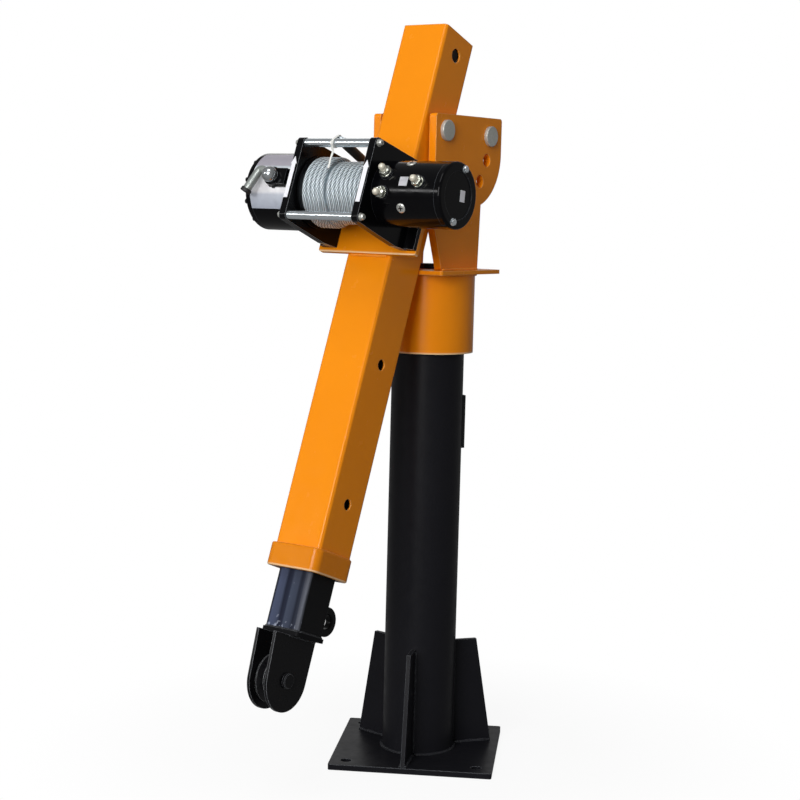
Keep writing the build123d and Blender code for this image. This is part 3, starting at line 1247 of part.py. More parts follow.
# Sheave cheeks: two round-ended plates under the end plate
with BuildPart() as sheave_cheeks:
    cheek_start = -(extension_end + END_PLATE_T)
    for side in (-1, 1):
        with BuildSketch(side_plane(BOOM, side * SHEAVE_CHEEK_GAP / 2)):
            with BuildLine():
                Line((SHEAVE_FORWARD - SHEAVE_CHEEK_R, cheek_start), (SHEAVE_CHEEK_FRONT, cheek_start))
            with Locations((SHEAVE_FORWARD, -sheave_level)):
                Circle(SHEAVE_CHEEK_R)
            make_hull()
            with Locations((SHEAVE_FORWARD, -sheave_level)):
                Circle(SHEAVE_AXLE_D / 2 + FACE_GAP, mode=Mode.SUBTRACT)
        extrude(amount=-side * SHEAVE_CHEEK_T)
finish(sheave_cheeks, "sheave_cheeks")

# Sheave axle: headed pin through the cheeks with a riveted end
sheave_half = SHEAVE_CHEEK_GAP / 2 + SHEAVE_CHEEK_T
with BuildPart() as sheave_axle:
    axle_layers = (
        (-sheave_half - AXLE_HEAD_T, AXLE_HEAD_D, AXLE_HEAD_T),
        (-sheave_half, SHEAVE_AXLE_D, 2 * sheave_half),
        (sheave_half, AXLE_HEAD_D, AXLE_HEAD_T),
    )
    for start, diameter, length in axle_layers:
        with BuildSketch(side_plane(BOOM, start)):
            with Locations((SHEAVE_FORWARD, -sheave_level)):
                Circle(diameter / 2)
        extrude(amount=-length)
    ends = sheave_axle.faces().sort_by(Axis(BOOM.origin, BOOM.y_dir))
    chamfer(ends[0].edges() + ends[-1].edges(), length=AXLE_HEAD_T / 4)
finish(sheave_axle, "sheave_axle")

# Sheave: grooved wheel on a plain bush
sheave_hub = BOOM.from_local_coords((SHEAVE_FORWARD, 0, -sheave_level))
sheave_section = Plane(origin=sheave_hub, x_dir=BOOM.y_dir, z_dir=BOOM.x_dir)
with BuildPart() as sheave:
    with BuildSketch(sheave_section):
        with BuildLine():
            groove_bottom = SHEAVE_D / 2 - SHEAVE_GROOVE_DEPTH
            groove_side = SHEAVE_W / 2 - 1.5
            Polyline(
                (-SHEAVE_GROOVE_R / 2, groove_bottom),
                (-groove_side, SHEAVE_D / 2),
                (-SHEAVE_W / 2, SHEAVE_D / 2),
                (-SHEAVE_W / 2, SHEAVE_BUSH_D / 2),
                (SHEAVE_W / 2, SHEAVE_BUSH_D / 2),
                (SHEAVE_W / 2, SHEAVE_D / 2),
                (groove_side, SHEAVE_D / 2),
                (SHEAVE_GROOVE_R / 2, groove_bottom),
            )
            SagittaArc((SHEAVE_GROOVE_R / 2, groove_bottom), (-SHEAVE_GROOVE_R / 2, groove_bottom), -0.8)
        make_face()
    revolve(axis=Axis(sheave_hub, BOOM.y_dir))
finish(sheave, "sheave")

with BuildPart() as sheave_bush:
    with BuildSketch(side_plane(BOOM)):
        with Locations((SHEAVE_FORWARD, -sheave_level)):
            Circle(SHEAVE_BUSH_D / 2)
            Circle(SHEAVE_AXLE_D / 2 + RUNNING_FIT, mode=Mode.SUBTRACT)
    extrude(amount=SHEAVE_W / 2 + 0.5, both=True)
finish(sheave_bush, "sheave_bush")

# Anchor eye: round lug on the extension's back for parking the hook
eye_level = -(extension_end - EYE_ABOVE_END)
eye_centre = -(EXTENSION_W / 2 + EYE_REACH)
with BuildPart() as anchor_eye:
    with BuildSketch(side_plane(BOOM)):
        with Locations((eye_centre, eye_level)):
            Circle(EYE_R)
        with Locations((eye_centre / 2 - EXTENSION_W / 4, eye_level)):
            Rectangle(EYE_REACH, 2 * EYE_R)
        with Locations((eye_centre, eye_level)):
            Circle(EYE_HOLE_D / 2, mode=Mode.SUBTRACT)
    extrude(amount=EYE_T / 2, both=True)
    rims = anchor_eye.edges().filter_by(GeomType.CIRCLE)
    fillet(rims, radius=EYE_ROUND)
finish(anchor_eye, "anchor_eye")
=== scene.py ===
import math
import random

import bmesh
import bpy
from mathutils import Matrix, Vector


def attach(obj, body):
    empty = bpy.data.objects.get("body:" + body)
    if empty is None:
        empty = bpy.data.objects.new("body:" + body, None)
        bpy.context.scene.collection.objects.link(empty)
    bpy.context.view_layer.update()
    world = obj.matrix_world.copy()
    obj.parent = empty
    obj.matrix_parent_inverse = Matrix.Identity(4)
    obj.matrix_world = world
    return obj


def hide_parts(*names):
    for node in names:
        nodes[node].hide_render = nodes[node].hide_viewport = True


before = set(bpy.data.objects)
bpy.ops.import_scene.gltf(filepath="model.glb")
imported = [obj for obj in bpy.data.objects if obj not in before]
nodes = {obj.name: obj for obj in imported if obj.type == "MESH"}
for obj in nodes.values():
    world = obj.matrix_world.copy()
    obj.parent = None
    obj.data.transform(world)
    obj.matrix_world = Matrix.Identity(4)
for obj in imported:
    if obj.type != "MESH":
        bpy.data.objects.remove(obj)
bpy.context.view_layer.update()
scene = bpy.context.scene

# Base plate, post and gussets. A 7 mm plate with a pipe post and three gussets welded to it, sprayed
# satin black as one piece, so the same film runs over plate, pipe, gussets and weld beads.
MM = 0.001


def linear(code):
    """Linear colour of an sRGB hex value."""
    parts = [int(code[i:i + 2], 16) / 255 for i in (0, 2, 4)]
    return [p / 12.92 if p <= 0.04045 else ((p + 0.055) / 1.055) ** 2.4 for p in parts] + [1.0]


def wire(tree, node, inputs):
    """Fills a node's inputs with links, hex colours or plain values; a node stands for its first live output.
    Numbers stand where socket names repeat: 0, 6 and 7 are a colour Mix's share and its two colours,
    0 to 4 a Map Range's value, its old ends and its new ends."""
    for key, value in inputs.items():
        if isinstance(value, bpy.types.Node):
            value = next(out for out in value.outputs if out.enabled)
        if isinstance(value, str):
            value = linear(value)
        if isinstance(value, bpy.types.NodeSocket):
            tree.links.new(value, node.inputs[key])
        else:
            node.inputs[key].default_value = value


def add(tree, kind, inputs=None, mode=None, stops=(), **settings):
    """Adds a node: its kind, its inputs, its operation or data type, its colour stops from 0 to 1."""
    made = tree.nodes.new("ShaderNode" + kind)
    if mode:
        settings["data_type" if kind == "Mix" else "operation"] = mode
    for key, value in settings.items():
        setattr(made, key, value)
    for spot, code in stops[1:-1]:
        made.color_ramp.elements.new(spot)
    for i, (spot, code) in enumerate(stops):
        made.color_ramp.elements[i].color = linear(code)
    wire(tree, made, inputs or {})
    return made


def opened(holder):
    """The node tree of a material or a world, emptied."""
    holder.use_nodes = True
    holder.node_tree.nodes.clear()
    return holder.node_tree


def begin(name):
    """Opens a finish: the material, its tree, object coordinates in metres and the shader."""
    finish = bpy.data.materials.new(name)
    tree = opened(finish)
    where = add(tree, "TexCoord").outputs["Object"]
    shader = add(tree, "BsdfPrincipled")
    add(tree, "OutputMaterial", {"Surface": shader})
    return finish, tree, where, shader


NOISE_LOW, NOISE_HIGH = 0.3, 0.7
FILM_DRIFT_MM, HAZE_MM, PEEL_DEPTH_MM = 70, 14, 0.2
EDGE_HIGHLIGHT_START, EDGE_HIGHLIGHT_END, EDGE_HIGHLIGHT_SHARE = 0.99, 0.8, 0.75
HAZE_CLEAR, HAZE_DULL = 0.06, 0.07


def enamel(name, colour, deep, edge, rough, specular=0.12, round_mm=0.9, peel_mm=2.6, peel=0.05):
    """Sprayed enamel on steel: the film drifts in depth over a hand's width, takes a paler colour along its
    rounded edges as a painted highlight, and dries with an orange peel that softens its gloss."""
    finish, tree, where, shader = begin(name)
    drift = add(tree, "TexNoise", {"Vector": where, "Scale": 1 / (FILM_DRIFT_MM * MM), "Detail": 4.0})
    film = add(tree, "Mix", {0: drift, 6: deep, 7: colour}, "RGBA")
    soft = add(tree, "Bevel", {"Radius": round_mm * MM}, samples=6)
    plain = add(tree, "NewGeometry")
    meet = add(tree, "VectorMath", {0: soft, 1: plain.outputs["Normal"]}, "DOT_PRODUCT")
    # Painted highlight: the edge colour is mixed in where the rounded normal turns away from the face.
    edge_highlight = add(tree, "MapRange", {0: meet, 1: EDGE_HIGHLIGHT_START, 2: EDGE_HIGHLIGHT_END, 3: 0.0, 4: EDGE_HIGHLIGHT_SHARE})
    film_and_edge_highlight = add(tree, "Mix", {0: edge_highlight, 6: film, 7: edge}, "RGBA")
    haze = add(tree, "TexNoise", {"Vector": where, "Scale": 1 / (HAZE_MM * MM), "Detail": 5.0})
    gloss = add(tree, "MapRange", {0: haze, 1: NOISE_LOW, 2: NOISE_HIGH,
                                   3: rough - HAZE_CLEAR, 4: rough + HAZE_DULL})
    skin = add(tree, "TexNoise", {"Vector": where, "Scale": 1 / (peel_mm * MM), "Detail": 2.0})
    bump = add(tree, "Bump", {"Height": skin, "Strength": peel,
                              "Distance": PEEL_DEPTH_MM * MM, "Normal": soft})
    wire(tree, shader, {"Base Color": film_and_edge_highlight, "Roughness": gloss,
                        "Normal": bump, "Specular IOR Level": specular})
    return finish


def dress(finish, *names):
    """Gives CAD nodes their finish."""
    for name in names:
        for holder in nodes[name].material_slots:
            holder.material = finish


def seat(origin, x_way, y_way):
    """Matrix from a piece's own millimetres to the object's frame in metres."""
    x, y = Vector(x_way).normalized(), Vector(y_way).normalized()
    turn = Matrix((x, y, x.cross(y))).transposed().to_4x4()
    return Matrix.Translation(Vector(origin) * MM) @ turn @ Matrix.Scale(MM, 4)


def put(name, data):
    """A new object in the scene."""
    made = bpy.data.objects.new(name, data)
    scene.collection.objects.link(made)
    return made


MERGE_MM, SHARP_DEGREES = 0.004, 38


def place(name, bm, at, finishes, body, slot, *stands_for):
    """Turns a finished bmesh into a piece: seated, closed, smooth, painted and riding on its body."""
    bmesh.ops.transform(bm, matrix=at, verts=bm.verts)
    bmesh.ops.remove_doubles(bm, verts=bm.verts, dist=MERGE_MM * MM)
    bmesh.ops.recalc_face_normals(bm, faces=bm.faces)
    mesh = bpy.data.meshes.new(name)
    bm.to_mesh(mesh)
    bm.free()
    piece = put(name, mesh)
    for finish in finishes:
        mesh.materials.append(finish)
    mesh.polygons.foreach_set("use_smooth", [True] * len(mesh.polygons))
    mesh.set_sharp_from_angle(angle=math.radians(SHARP_DEGREES))
    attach(piece, body)
    if stands_for:
        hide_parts(*stands_for)


def along(run, step):
    """Points at even steps along a run of corners."""
    corners = [Vector(corner) for corner in run]
    spread = []
    for start, end in zip(corners, corners[1:]):
        count = max(1, round((end - start).length / step))
        spread += [start.lerp(end, i / count) for i in range(count)]
    return spread + [corners[-1]]


def ray(degrees):
    """Level direction at an angle from x towards y."""
    angle = math.radians(degrees)
    return Vector((math.cos(angle), math.sin(angle), 0))


def arc(radius, z, start, end, count):
    """Points of an arc about the z axis, angles in degrees."""
    angles = [math.radians(start + (end - start) * i / count) for i in range(count + 1)]
    return [(radius * math.cos(angle), radius * math.sin(angle), z) for angle in angles]


def mesh_of(curve):
    """The mesh of a curve, which is then removed."""
    holder = bpy.data.objects.new(curve.name, curve)
    mesh = bpy.data.meshes.new_from_object(holder)
    bpy.data.objects.remove(holder)
    bpy.data.curves.remove(curve)
    return mesh


def poured(mesh, bm):
    """A bmesh with a mesh added to it, which is then removed."""
    bm.from_mesh(mesh)
    bpy.data.meshes.remove(mesh)
    return bm


WELD_STEP, WELD_WANDER, WELD_SWELL = 1.1, 0.12, (0.94, 1.06)
WELD_PUDDLE, WELD_TAPER = (1.06, 0.9, 0.96), (0.6, 0.9, 1)


def weld_beads(name, runs, size, at, finish, body, slot):
    """Hand-laid fillet welds: a round ridge along each run, swelling and dipping with every puddle."""
    chance = random.Random(name)
    ridge = bpy.data.curves.new(name, "CURVE")
    ridge.dimensions = "3D"
    ridge.bevel_depth = size / 2
    ridge.bevel_resolution = 2
    ridge.use_fill_caps = True
    for run in runs:
        path = along(run, WELD_STEP)
        spline = ridge.splines.new("POLY")
        spline.points.add(len(path) - 1)
        for i, (point, spot) in enumerate(zip(spline.points, path)):
            drift = Vector([chance.uniform(-WELD_WANDER, WELD_WANDER) for _ in range(3)])
            point.co = (*(spot + drift), 1)
            from_end = min(i, len(path) - 1 - i, len(WELD_TAPER) - 1)
            swell = WELD_PUDDLE[i % len(WELD_PUDDLE)] * chance.uniform(*WELD_SWELL)
            point.radius = swell * WELD_TAPER[from_end]
    place(name, poured(mesh_of(ridge), bmesh.new()), at, [finish], body, slot)


POST_R, PLATE_TOP = 44.5, 7.0
GUSSET_HALF, GUSSET_FOOT, GUSSET_TOP = 2.5, 98.0, 141.0
GUSSET_TURNS = (25.0, 145.0, 265.0)
FOOT_BEAD_OUT, FOOT_BEAD_FROM, FOOT_BEAD_TO = 0.8, 6, 114
GUSSET_BEAD_OUT, POST_BEAD_OUT = 0.5, 0.3
ground = seat((0, 0, 0), (1, 0, 0), (0, 1, 0))
post_black = enamel("satin_black_enamel", "1b1b1f", "151519", "6a6d72", rough=0.36, specular=0.11,
                    round_mm=1.5, peel=0.07)
dress(post_black, "base_plate", "column_tube", "gussets")
foot_runs = []
for turn in GUSSET_TURNS:
    foot_runs.append(arc(POST_R + FOOT_BEAD_OUT, PLATE_TOP + FOOT_BEAD_OUT, turn + FOOT_BEAD_FROM,
                         turn + FOOT_BEAD_TO, 60))
for turn in GUSSET_TURNS:
    out = ray(turn)
    aside = Vector((-out.y, out.x, 0))
    for side in (-1, 1):
        root = aside * side * (GUSSET_HALF + GUSSET_BEAD_OUT)
        up = Vector((0, 0, PLATE_TOP + GUSSET_BEAD_OUT))
        foot_runs.append([out * (POST_R + 3) + root + up, out * (GUSSET_FOOT - 1) + root + up])
        seam = out * (POST_R + POST_BEAD_OUT) + root
        foot_runs.append([seam + up * 1.3, seam + Vector((0, 0, GUSSET_TOP - 3))])
weld_beads("post_welds", foot_runs, 4.6, ground, post_black, "base", "black_enamel")

# Rating plate on the post: thin aluminium, blank and anodised black, held by four drive rivets.
# Rolled sheet gives it a fine upright brushing under the black.
CLOUD_MM, GRAIN_DEPTH_MM = 22, 0.1
BLEND_LOW, BLEND_HIGH = 0.12, 0.4


def metal(name, colour, deep, rough, grain_mm=1.0, depth=0.05, shine=1.0, uneven=0.07, soft_mm=0.4,
          stretch=(1, 1, 1)):
    """Worked or plated metal: a fine grain drawn out one way, with slow bright and dull patches."""
    finish, tree, where, shader = begin(name)
    lie = add(tree, "Mapping", {"Vector": where, "Scale": stretch})
    grain = add(tree, "TexNoise", {"Vector": lie, "Scale": 1 / (grain_mm * MM), "Detail": 3.0})
    cloud = add(tree, "TexNoise", {"Vector": where, "Scale": 1 / (CLOUD_MM * MM), "Detail": 4.0})
    blend = add(tree, "Math", {0: grain, 1: cloud}, "MULTIPLY")
    tone = add(tree, "MapRange", {0: blend, 1: BLEND_LOW, 2: BLEND_HIGH, 3: 0.0, 4: 1.0})
    face = add(tree, "Mix", {0: tone, 6: deep, 7: colour}, "RGBA")
    gloss = add(tree, "MapRange", {0: blend, 1: BLEND_LOW, 2: BLEND_HIGH,
                                   3: rough + uneven, 4: rough - uneven})
    bump = add(tree, "Bump", {"Height": grain, "Strength": depth, "Distance": GRAIN_DEPTH_MM * MM})
    if soft_mm:
        soft = add(tree, "Bevel", {"Radius": soft_mm * MM}, samples=4)
        wire(tree, bump, {"Normal": soft})
    wire(tree, shader, {"Base Color": face, "Metallic": shine, "Roughness": gloss, "Normal": bump})
    return finish


def gather(bm, shape, at, finish_number=0):
    """Adds one finished shape to a piece, at its place, in the piece's finish of that number."""
    for face in shape.faces:
        face.material_index += finish_number
    bmesh.ops.transform(shape, matrix=at, verts=shape.verts)
    sheet = bpy.data.meshes.new("shape")
    shape.to_mesh(sheet)
    shape.free()
    poured(sheet, bm)


def turned(profile, steps):
    """A shape turned on a lathe about z, from corners given as (radius, height)."""
    shape = bmesh.new()
    spots = [shape.verts.new((radius, 0, z)) for radius, z in profile]
    cut = [shape.edges.new(pair) for pair in zip(spots, spots[1:])]
    bmesh.ops.spin(shape, geom=spots + cut, cent=(0, 0, 0), axis=(0, 0, 1), angle=math.tau, steps=steps,
                   use_merge=True)
    bmesh.ops.remove_doubles(shape, verts=shape.verts, dist=0.001)
    return shape


RATING_TURN, RATING_Z, RATING_THICK = 26.0, 421.0, 1.0
RIVET_ACROSS, RIVET_UP = 13.0, 29.5
RIVET_PROFILE = ((0, 0.9), (0.9, 0.75), (1.6, 0.3), (1.75, -0.4), (0, -0.4))
rating_metal = metal("black_anodised_aluminium", "2b2c2e", "1c1d1f", rough=0.4, grain_mm=0.5, depth=0.08,
                     shine=0.6, stretch=(1, 1, 0.06))
dress(rating_metal, "data_plate")
rating_out = ray(RATING_TURN)
rating_spot = rating_out * (POST_R + RATING_THICK) + Vector((0, 0, RATING_Z))
rating_seat = seat(rating_spot, (-rating_out.y, rating_out.x, 0), (0, 0, 1))
rivets = bmesh.new()
for across in (-RIVET_ACROSS, RIVET_ACROSS):
    for up in (-RIVET_UP, RIVET_UP):
        gather(rivets, turned(RIVET_PROFILE, 16), Matrix.Translation((across, up, 0)))
place("rating_plate_rivets", rivets, rating_seat, [rating_metal], "base", "bare_aluminium")

# Bearing parts inside the post's head: cap, thrust washer, bushes and the king bolt that holds the
# head down. The cap is galvanised, bolt and nut are oil-blacked, bushes and washer are plain bronze;
# the other bushes, the foot bolts and the drum have the same finishes.
bronze = metal("bearing_bronze", "b08a4a", "8a6836", rough=0.34, grain_mm=0.8, stretch=(1, 1, 0.2))
oiled_black = metal("black_oxide_steel", "2a2b2e", "18191b", rough=0.42, grain_mm=0.9, depth=0.06)
cap_zinc = metal("galvanised_steel", "8f979f", "6d757d", rough=0.42, grain_mm=2.4)
dress(bronze, "swivel_bushes", "thrust_washer", "pivot_bush", "drum_bushes", "shaft_bearings", "sheave_bush")
dress(oiled_black, "king_bolt", "foot_bolts", "drum")
dress(cap_zinc, "column_cap")

# Swivel head: sleeve, head plate and two cheeks, welded up and sprayed glossy orange. The film is
# bright and even, with soft highlights along its rounded edges.
HEAD_TURN = -118.78
SLEEVE_R, SLEEVE_END = 55.25, 508.1
HEAD_PLATE_UNDER, HEAD_PLATE_TOP = 605.1, 610.1
CHEEK_FACES = ((34.3, -1), (44.3, 1), (-37.0, 1), (-47.0, -1))
CHEEK_BACK, CHEEK_FRONT = -36.0, 40.5
HEAD_BEAD_OUT, CHEEK_BEAD_OUT = 0.6, 0.5
RIM_FROM, RIM_TO, RIM_HIGHLIGHT_SHARE = 2.6, 0.8, 0.9
RIM_SIDE, RIM_END = 0.8, 0.98
head_out = ray(HEAD_TURN)
head_side = Vector((-head_out.y, head_out.x, 0))
head = seat((0, 0, 0), head_out, head_side)
orange = enamel("orange_enamel", "f89411", "f18b0d", "ffcc85", rough=0.21, specular=0.2, round_mm=1.4,
                peel_mm=2.8)
dress(orange, "head_plate", "cheek_left", "cheek_right")


def recoated(finish, name):
    """A copy of a finish, with its tree, its shader and the film that is on it."""
    made = finish.copy()
    made.name = name
    tree = made.node_tree
    shader = next(n for n in tree.nodes if n.type == "BSDF_PRINCIPLED")
    return made, tree, shader, shader.inputs["Base Color"].links[0].from_socket


def with_rim_highlight(finish, name, way, level):
    """The same film with a pale painted highlight round a rounded rim that lies at one level along a
    direction.
    """
    made, tree, shader, film = recoated(finish, name)
    spot = add(tree, "TexCoord")
    reach = add(tree, "VectorMath", {0: spot.outputs["Object"], 1: way}, "DOT_PRODUCT")
    facing = add(tree, "VectorMath", {0: spot.outputs["Normal"], 1: way}, "DOT_PRODUCT")
    near = add(tree, "MapRange", {0: reach, 1: level - RIM_FROM * MM,
                                  2: level - RIM_TO * MM, 3: 0.0, 4: RIM_HIGHLIGHT_SHARE})
    under = add(tree, "MapRange", {0: facing, 1: RIM_SIDE, 2: RIM_END, 3: 1.0, 4: 0.0})
    share = add(tree, "Math", {0: near, 1: under}, "MULTIPLY")
    # Painted highlight: a pale colour mixed in near the rim, less where the surface faces straight along the
    # direction.
    pale_highlight = add(tree, "Mix", {0: share, 6: film, 7: "ffdcaa"}, "RGBA")
    wire(tree, shader, {"Base Color": pale_highlight})
    return made


dress(with_rim_highlight(orange, "orange_enamel_sleeve", (0, 0, -1), -SLEEVE_END * MM), "sleeve")
head_runs = [arc(SLEEVE_R + HEAD_BEAD_OUT, HEAD_PLATE_UNDER - HEAD_BEAD_OUT, 0, 360, 120)]
for face, way in CHEEK_FACES:
    aside = face + way * CHEEK_BEAD_OUT
    up = HEAD_PLATE_TOP + CHEEK_BEAD_OUT
    head_runs.append([(CHEEK_BACK, aside, up), (CHEEK_FRONT, aside, up)])
weld_beads("head_welds", head_runs, 4.0, head, orange, "head", "orange_enamel")

# Pivot pin and lock pin: turned steel with round heads, zinc plated to a light grey, the pivot pin
# kept in by a washer and a split pin on its far end.
pin_zinc = metal("zinc_plated_steel", "cfd0cb", "b2b3ac", rough=0.42, grain_mm=1.4, depth=0.04, shine=0.4)
dress(pin_zinc, "pivot_pin", "lock_pin", "pivot_washer", "pivot_split_pin")

# Boom: square steel tube with a flat winch bracket welded on its front and a collar round its lower
# end, in the head's orange; its inside walls are coloured near-black as painted shade. Beads run down
# the bracket's back and round the collar's top.
BOOM_TILT = math.radians(20.74)
BOOM_HALF, BOOM_CORNER = 32.0, 4.0
TUBE_INNER, TUBE_OUTER = BOOM_HALF - 2.5, BOOM_HALF - 1
BRACKET_TOP, BRACKET_BOTTOM, BRACKET_BEAD_HALF = 58.0, 171.0, 26.0
COLLAR_TOP, COLLAR_END = 521.0, 548.0
BRACKET_BEAD_OUT, COLLAR_BEAD_OUT = 0.6, 0.2
PIVOT = (-18.824, -34.270, 776.3)
pivot_spot = Vector(PIVOT) * MM
boom_front = head_out * math.cos(BOOM_TILT) + Vector((0, 0, math.sin(BOOM_TILT)))
boom_down = -(Vector((0, 0, math.cos(BOOM_TILT))) - head_out * math.sin(BOOM_TILT))
boom = seat(PIVOT, boom_front, boom_down)
boom_zero = pivot_spot.dot(boom_down)
# The collar is given a darker orange than the rest of the boom.
collar_orange = enamel("orange_enamel_darker", "e3860f", "da7d0b", "ffcc85", rough=0.21, specular=0.2,
                       round_mm=1.4, peel_mm=2.8)
dress(with_rim_highlight(collar_orange, "orange_enamel_collar", boom_down, boom_zero + COLLAR_END * MM), "boom_collar")
dress(with_rim_highlight(orange, "orange_enamel_bracket", boom_down, boom_zero + BRACKET_BOTTOM * MM), "winch_bracket")
tube_orange, tree, shader, outer_film = recoated(orange, "orange_enamel_on_dark_tube")
where = add(tree, "TexCoord").outputs["Object"]
reach = []
for way in (boom_front, head_side):
    off = add(tree, "VectorMath", {0: where, 1: way}, "DOT_PRODUCT")
    gap = add(tree, "Math", {0: off, 1: pivot_spot.dot(way)}, "SUBTRACT")
    reach.append(add(tree, "Math", {0: gap}, "ABSOLUTE"))
far = add(tree, "Math", {0: reach[0], 1: reach[1]}, "MAXIMUM")
inside = add(tree, "MapRange", {0: far, 1: TUBE_INNER * MM, 2: TUBE_OUTER * MM, 3: 1.0, 4: 0.0})
# Painted shade: the tube's inside walls take a near-black colour.
painted_inside_shade = add(tree, "Mix", {0: inside, 6: outer_film, 7: "1a130e"}, "RGBA")
wire(tree, shader, {"Base Color": painted_inside_shade})
dress(tube_orange, "boom_tube")


def square_run(half, corner, level):
    """Corners of a bead once round a square tube, cutting across the tube's rounded corners."""
    flat = half[0] - corner
    out = half[0] + half[1]
    turns = [(out, -flat), (out, flat), (flat, out), (-flat, out), (-out, flat), (-out, -flat), (-flat, -out),
             (flat, -out), (out, -flat)]
    return [(front, level, aside) for front, aside in turns]


boom_runs = []
for side in (-1, 1):
    aside = side * (BOOM_HALF - BRACKET_BEAD_OUT)
    front = BOOM_HALF - 1.2
    boom_runs.append([(front, BRACKET_TOP + 2, aside), (front, BRACKET_BOTTOM - 2, aside)])
for level in (BRACKET_TOP - BRACKET_BEAD_OUT, BRACKET_BOTTOM + BRACKET_BEAD_OUT):
    front = BOOM_HALF + 0.5
    boom_runs.append([(front, level, BRACKET_BEAD_HALF), (front, level, -BRACKET_BEAD_HALF)])
weld_beads("bracket_welds", boom_runs, 3.6, boom, orange, "boom", "orange_enamel")
collar_run = square_run((BOOM_HALF, COLLAR_BEAD_OUT), BOOM_CORNER, COLLAR_TOP - COLLAR_BEAD_OUT)
weld_beads("collar_welds", [collar_run], 2.4, boom, orange, "boom", "orange_enamel")

# Slide pads: strips cut from nylon sheet, natural white gone slightly yellow. They fill the gap
# between boom and extension, so that steel doesn't rub on steel.
PLASTIC_DRIFT_MM, PLASTIC_UNEVEN = 18, 0.06


def moulded(name, colour, deep, rough, grain_mm, depth):
    """Cut or moulded plastic: one colour with a slight drift, a fine matt grain and no metal."""
    finish, tree, where, shader = begin(name)
    drift = add(tree, "TexNoise", {"Vector": where, "Scale": 1 / (PLASTIC_DRIFT_MM * MM), "Detail": 3.0})
    tone = add(tree, "Mix", {0: drift, 6: deep, 7: colour}, "RGBA")
    grain = add(tree, "TexNoise", {"Vector": where, "Scale": 1 / (grain_mm * MM), "Detail": 2.0})
    gloss = add(tree, "MapRange", {0: grain, 1: NOISE_LOW, 2: NOISE_HIGH,
                                   3: rough - PLASTIC_UNEVEN, 4: rough + PLASTIC_UNEVEN})
    bump = add(tree, "Bump", {"Height": grain, "Strength": depth, "Distance": GRAIN_DEPTH_MM * MM})
    wire(tree, shader, {"Base Color": tone, "Roughness": gloss, "Normal": bump})
    return finish


nylon = moulded("natural_nylon", "dcdad0", "c8c5b8", rough=0.45, grain_mm=0.8, depth=0.12)
dress(nylon, "boom_slide_pads", "extension_slide_pads")

# Winch frames, motor and gearbox housings: pressed and cast steel baked in glossy black enamel.
# The film is harder and shinier than the post's, and the frames' edges carry a brighter painted highlight.
winch_black = enamel("baked_black_enamel", "070709", "050507", "54575c", rough=0.14, peel_mm=3.2, peel=0.04)
dress(winch_black, "motor_can", "motor_end_cap", "gearbox_housing", "gearbox_cover")
frame_black = enamel("baked_black_enamel_on_plate", "0a0a0c", "070709", "a6a9ae", rough=0.16, peel_mm=3.2,
                     peel=0.04)
dress(frame_black, "winch_frame_left", "winch_frame_right")

# Motor and gear parts inside the housings: cut gears and turned shafts of bare steel, a wound armature,
# and brush gear and ferrite magnets as dark as moulded insulation.
cut_steel = metal("machined_steel", "8d9095", "6c6f74", rough=0.3, grain_mm=0.7, depth=0.08)
dark_insulation = moulded("moulded_insulation", "2c2622", "1d1916", rough=0.5, grain_mm=0.9, depth=0.15)
dress(cut_steel, "drive_shaft", "sun_gear", "planet_gear_1", "planet_gear_2", "planet_gear_3", "ring_gear",
      "planet_carrier", "armature")
dress(dark_insulation, "brush_gear", "field_magnets")

# Tie rods and their screws: drawn bar, bright zinc plated, between the two winch frames. Domed socket
# screws on washers draw the frames up on the rods' ends.
TIE_OUT, TIE_ASIDE = 43.0, 44.0
FRAME_OUTER = {-1: 53.0, 1: 58.0}
WINCH_DROP, WINCH_OUT = 119.0, 95.0
HEAD_POINTS, QUARTERS = 24, ((1, 0), (0, 1), (-1, 0), (0, -1))
TIE_HEAD = ((3.7, -0.05), (3.7, 1.935), (3.441, 3.096), (2.738, 4.042), (2.294, 4.3), (1.628, 4.3, 6),
            (1.48, 1.72, 6))
TIE_WASHER = ((2.4, 0.0), (4.4, 0.0), (4.5, 0.15), (4.5, 0.95), (4.35, 1.1), (2.4, 1.1))
TIE_WASHER_TOP = 1.1
winch_spot = Vector(PIVOT) + boom_front * WINCH_OUT + boom_down * WINCH_DROP
winch = seat(winch_spot, boom_front, boom_down)
rod_zinc = metal("bright_zinc_plate", "e6edf1", "dbe3e8", rough=0.19, grain_mm=6.0, depth=0.0, shine=0.95,
                 uneven=0.02, soft_mm=0)
screw_zinc = metal("dull_zinc_plate", "dedfda", "c2c3bc", rough=0.3, depth=0.04, shine=0.75)
dress(rod_zinc, "tie_rods")


def hoop(bm, points):
    """A closed ring of edges through points."""
    spots = [bm.verts.new(point) for point in points]
    return [bm.edges.new(pair) for pair in zip(spots, spots[1:] + spots[:1])]


def skin(bm, rows, *ends):
    """Bridges rings of edges one to the next, and closes those that are ends."""
    for low, high in zip(rows, rows[1:]):
        bmesh.ops.bridge_loops(bm, edges=low + high)
    for end in ends:
        bmesh.ops.contextual_create(bm, geom=end)


def outline_of(radius, flats=0, slot=0):
    """Points of a circle, of a polygon with that inner radius, or of a cross with arms of that length."""
    middle = (radius + slot) / 2
    arm = [(radius, -slot), (radius, 0), (radius, slot), (middle, slot), (slot, slot), (slot, middle)]
    if slot:
        return [(x * ahead - y * aside, x * aside + y * ahead) for ahead, aside in QUARTERS for x, y in arm]
    points = []
    for i in range(HEAD_POINTS):
        angle = math.tau * i / HEAD_POINTS
        reach = radius
        if flats:
            sector = math.tau / flats
            reach = radius / math.cos((angle + sector / 2) % sector - sector / 2)
        points.append((reach * math.cos(angle), reach * math.sin(angle)))
    return points


def screw_head(rings):
    """A screw head or nut from rings of radius, height, flats and slot, bridged from the seat upward."""
    shape = bmesh.new()
    rows = []
    for radius, z, *form in rings:
        rows.append(hoop(shape, [(x, y, z) for x, y in outline_of(radius, *form)]))
    skin(shape, rows, rows[0], rows[-1])
    return shape


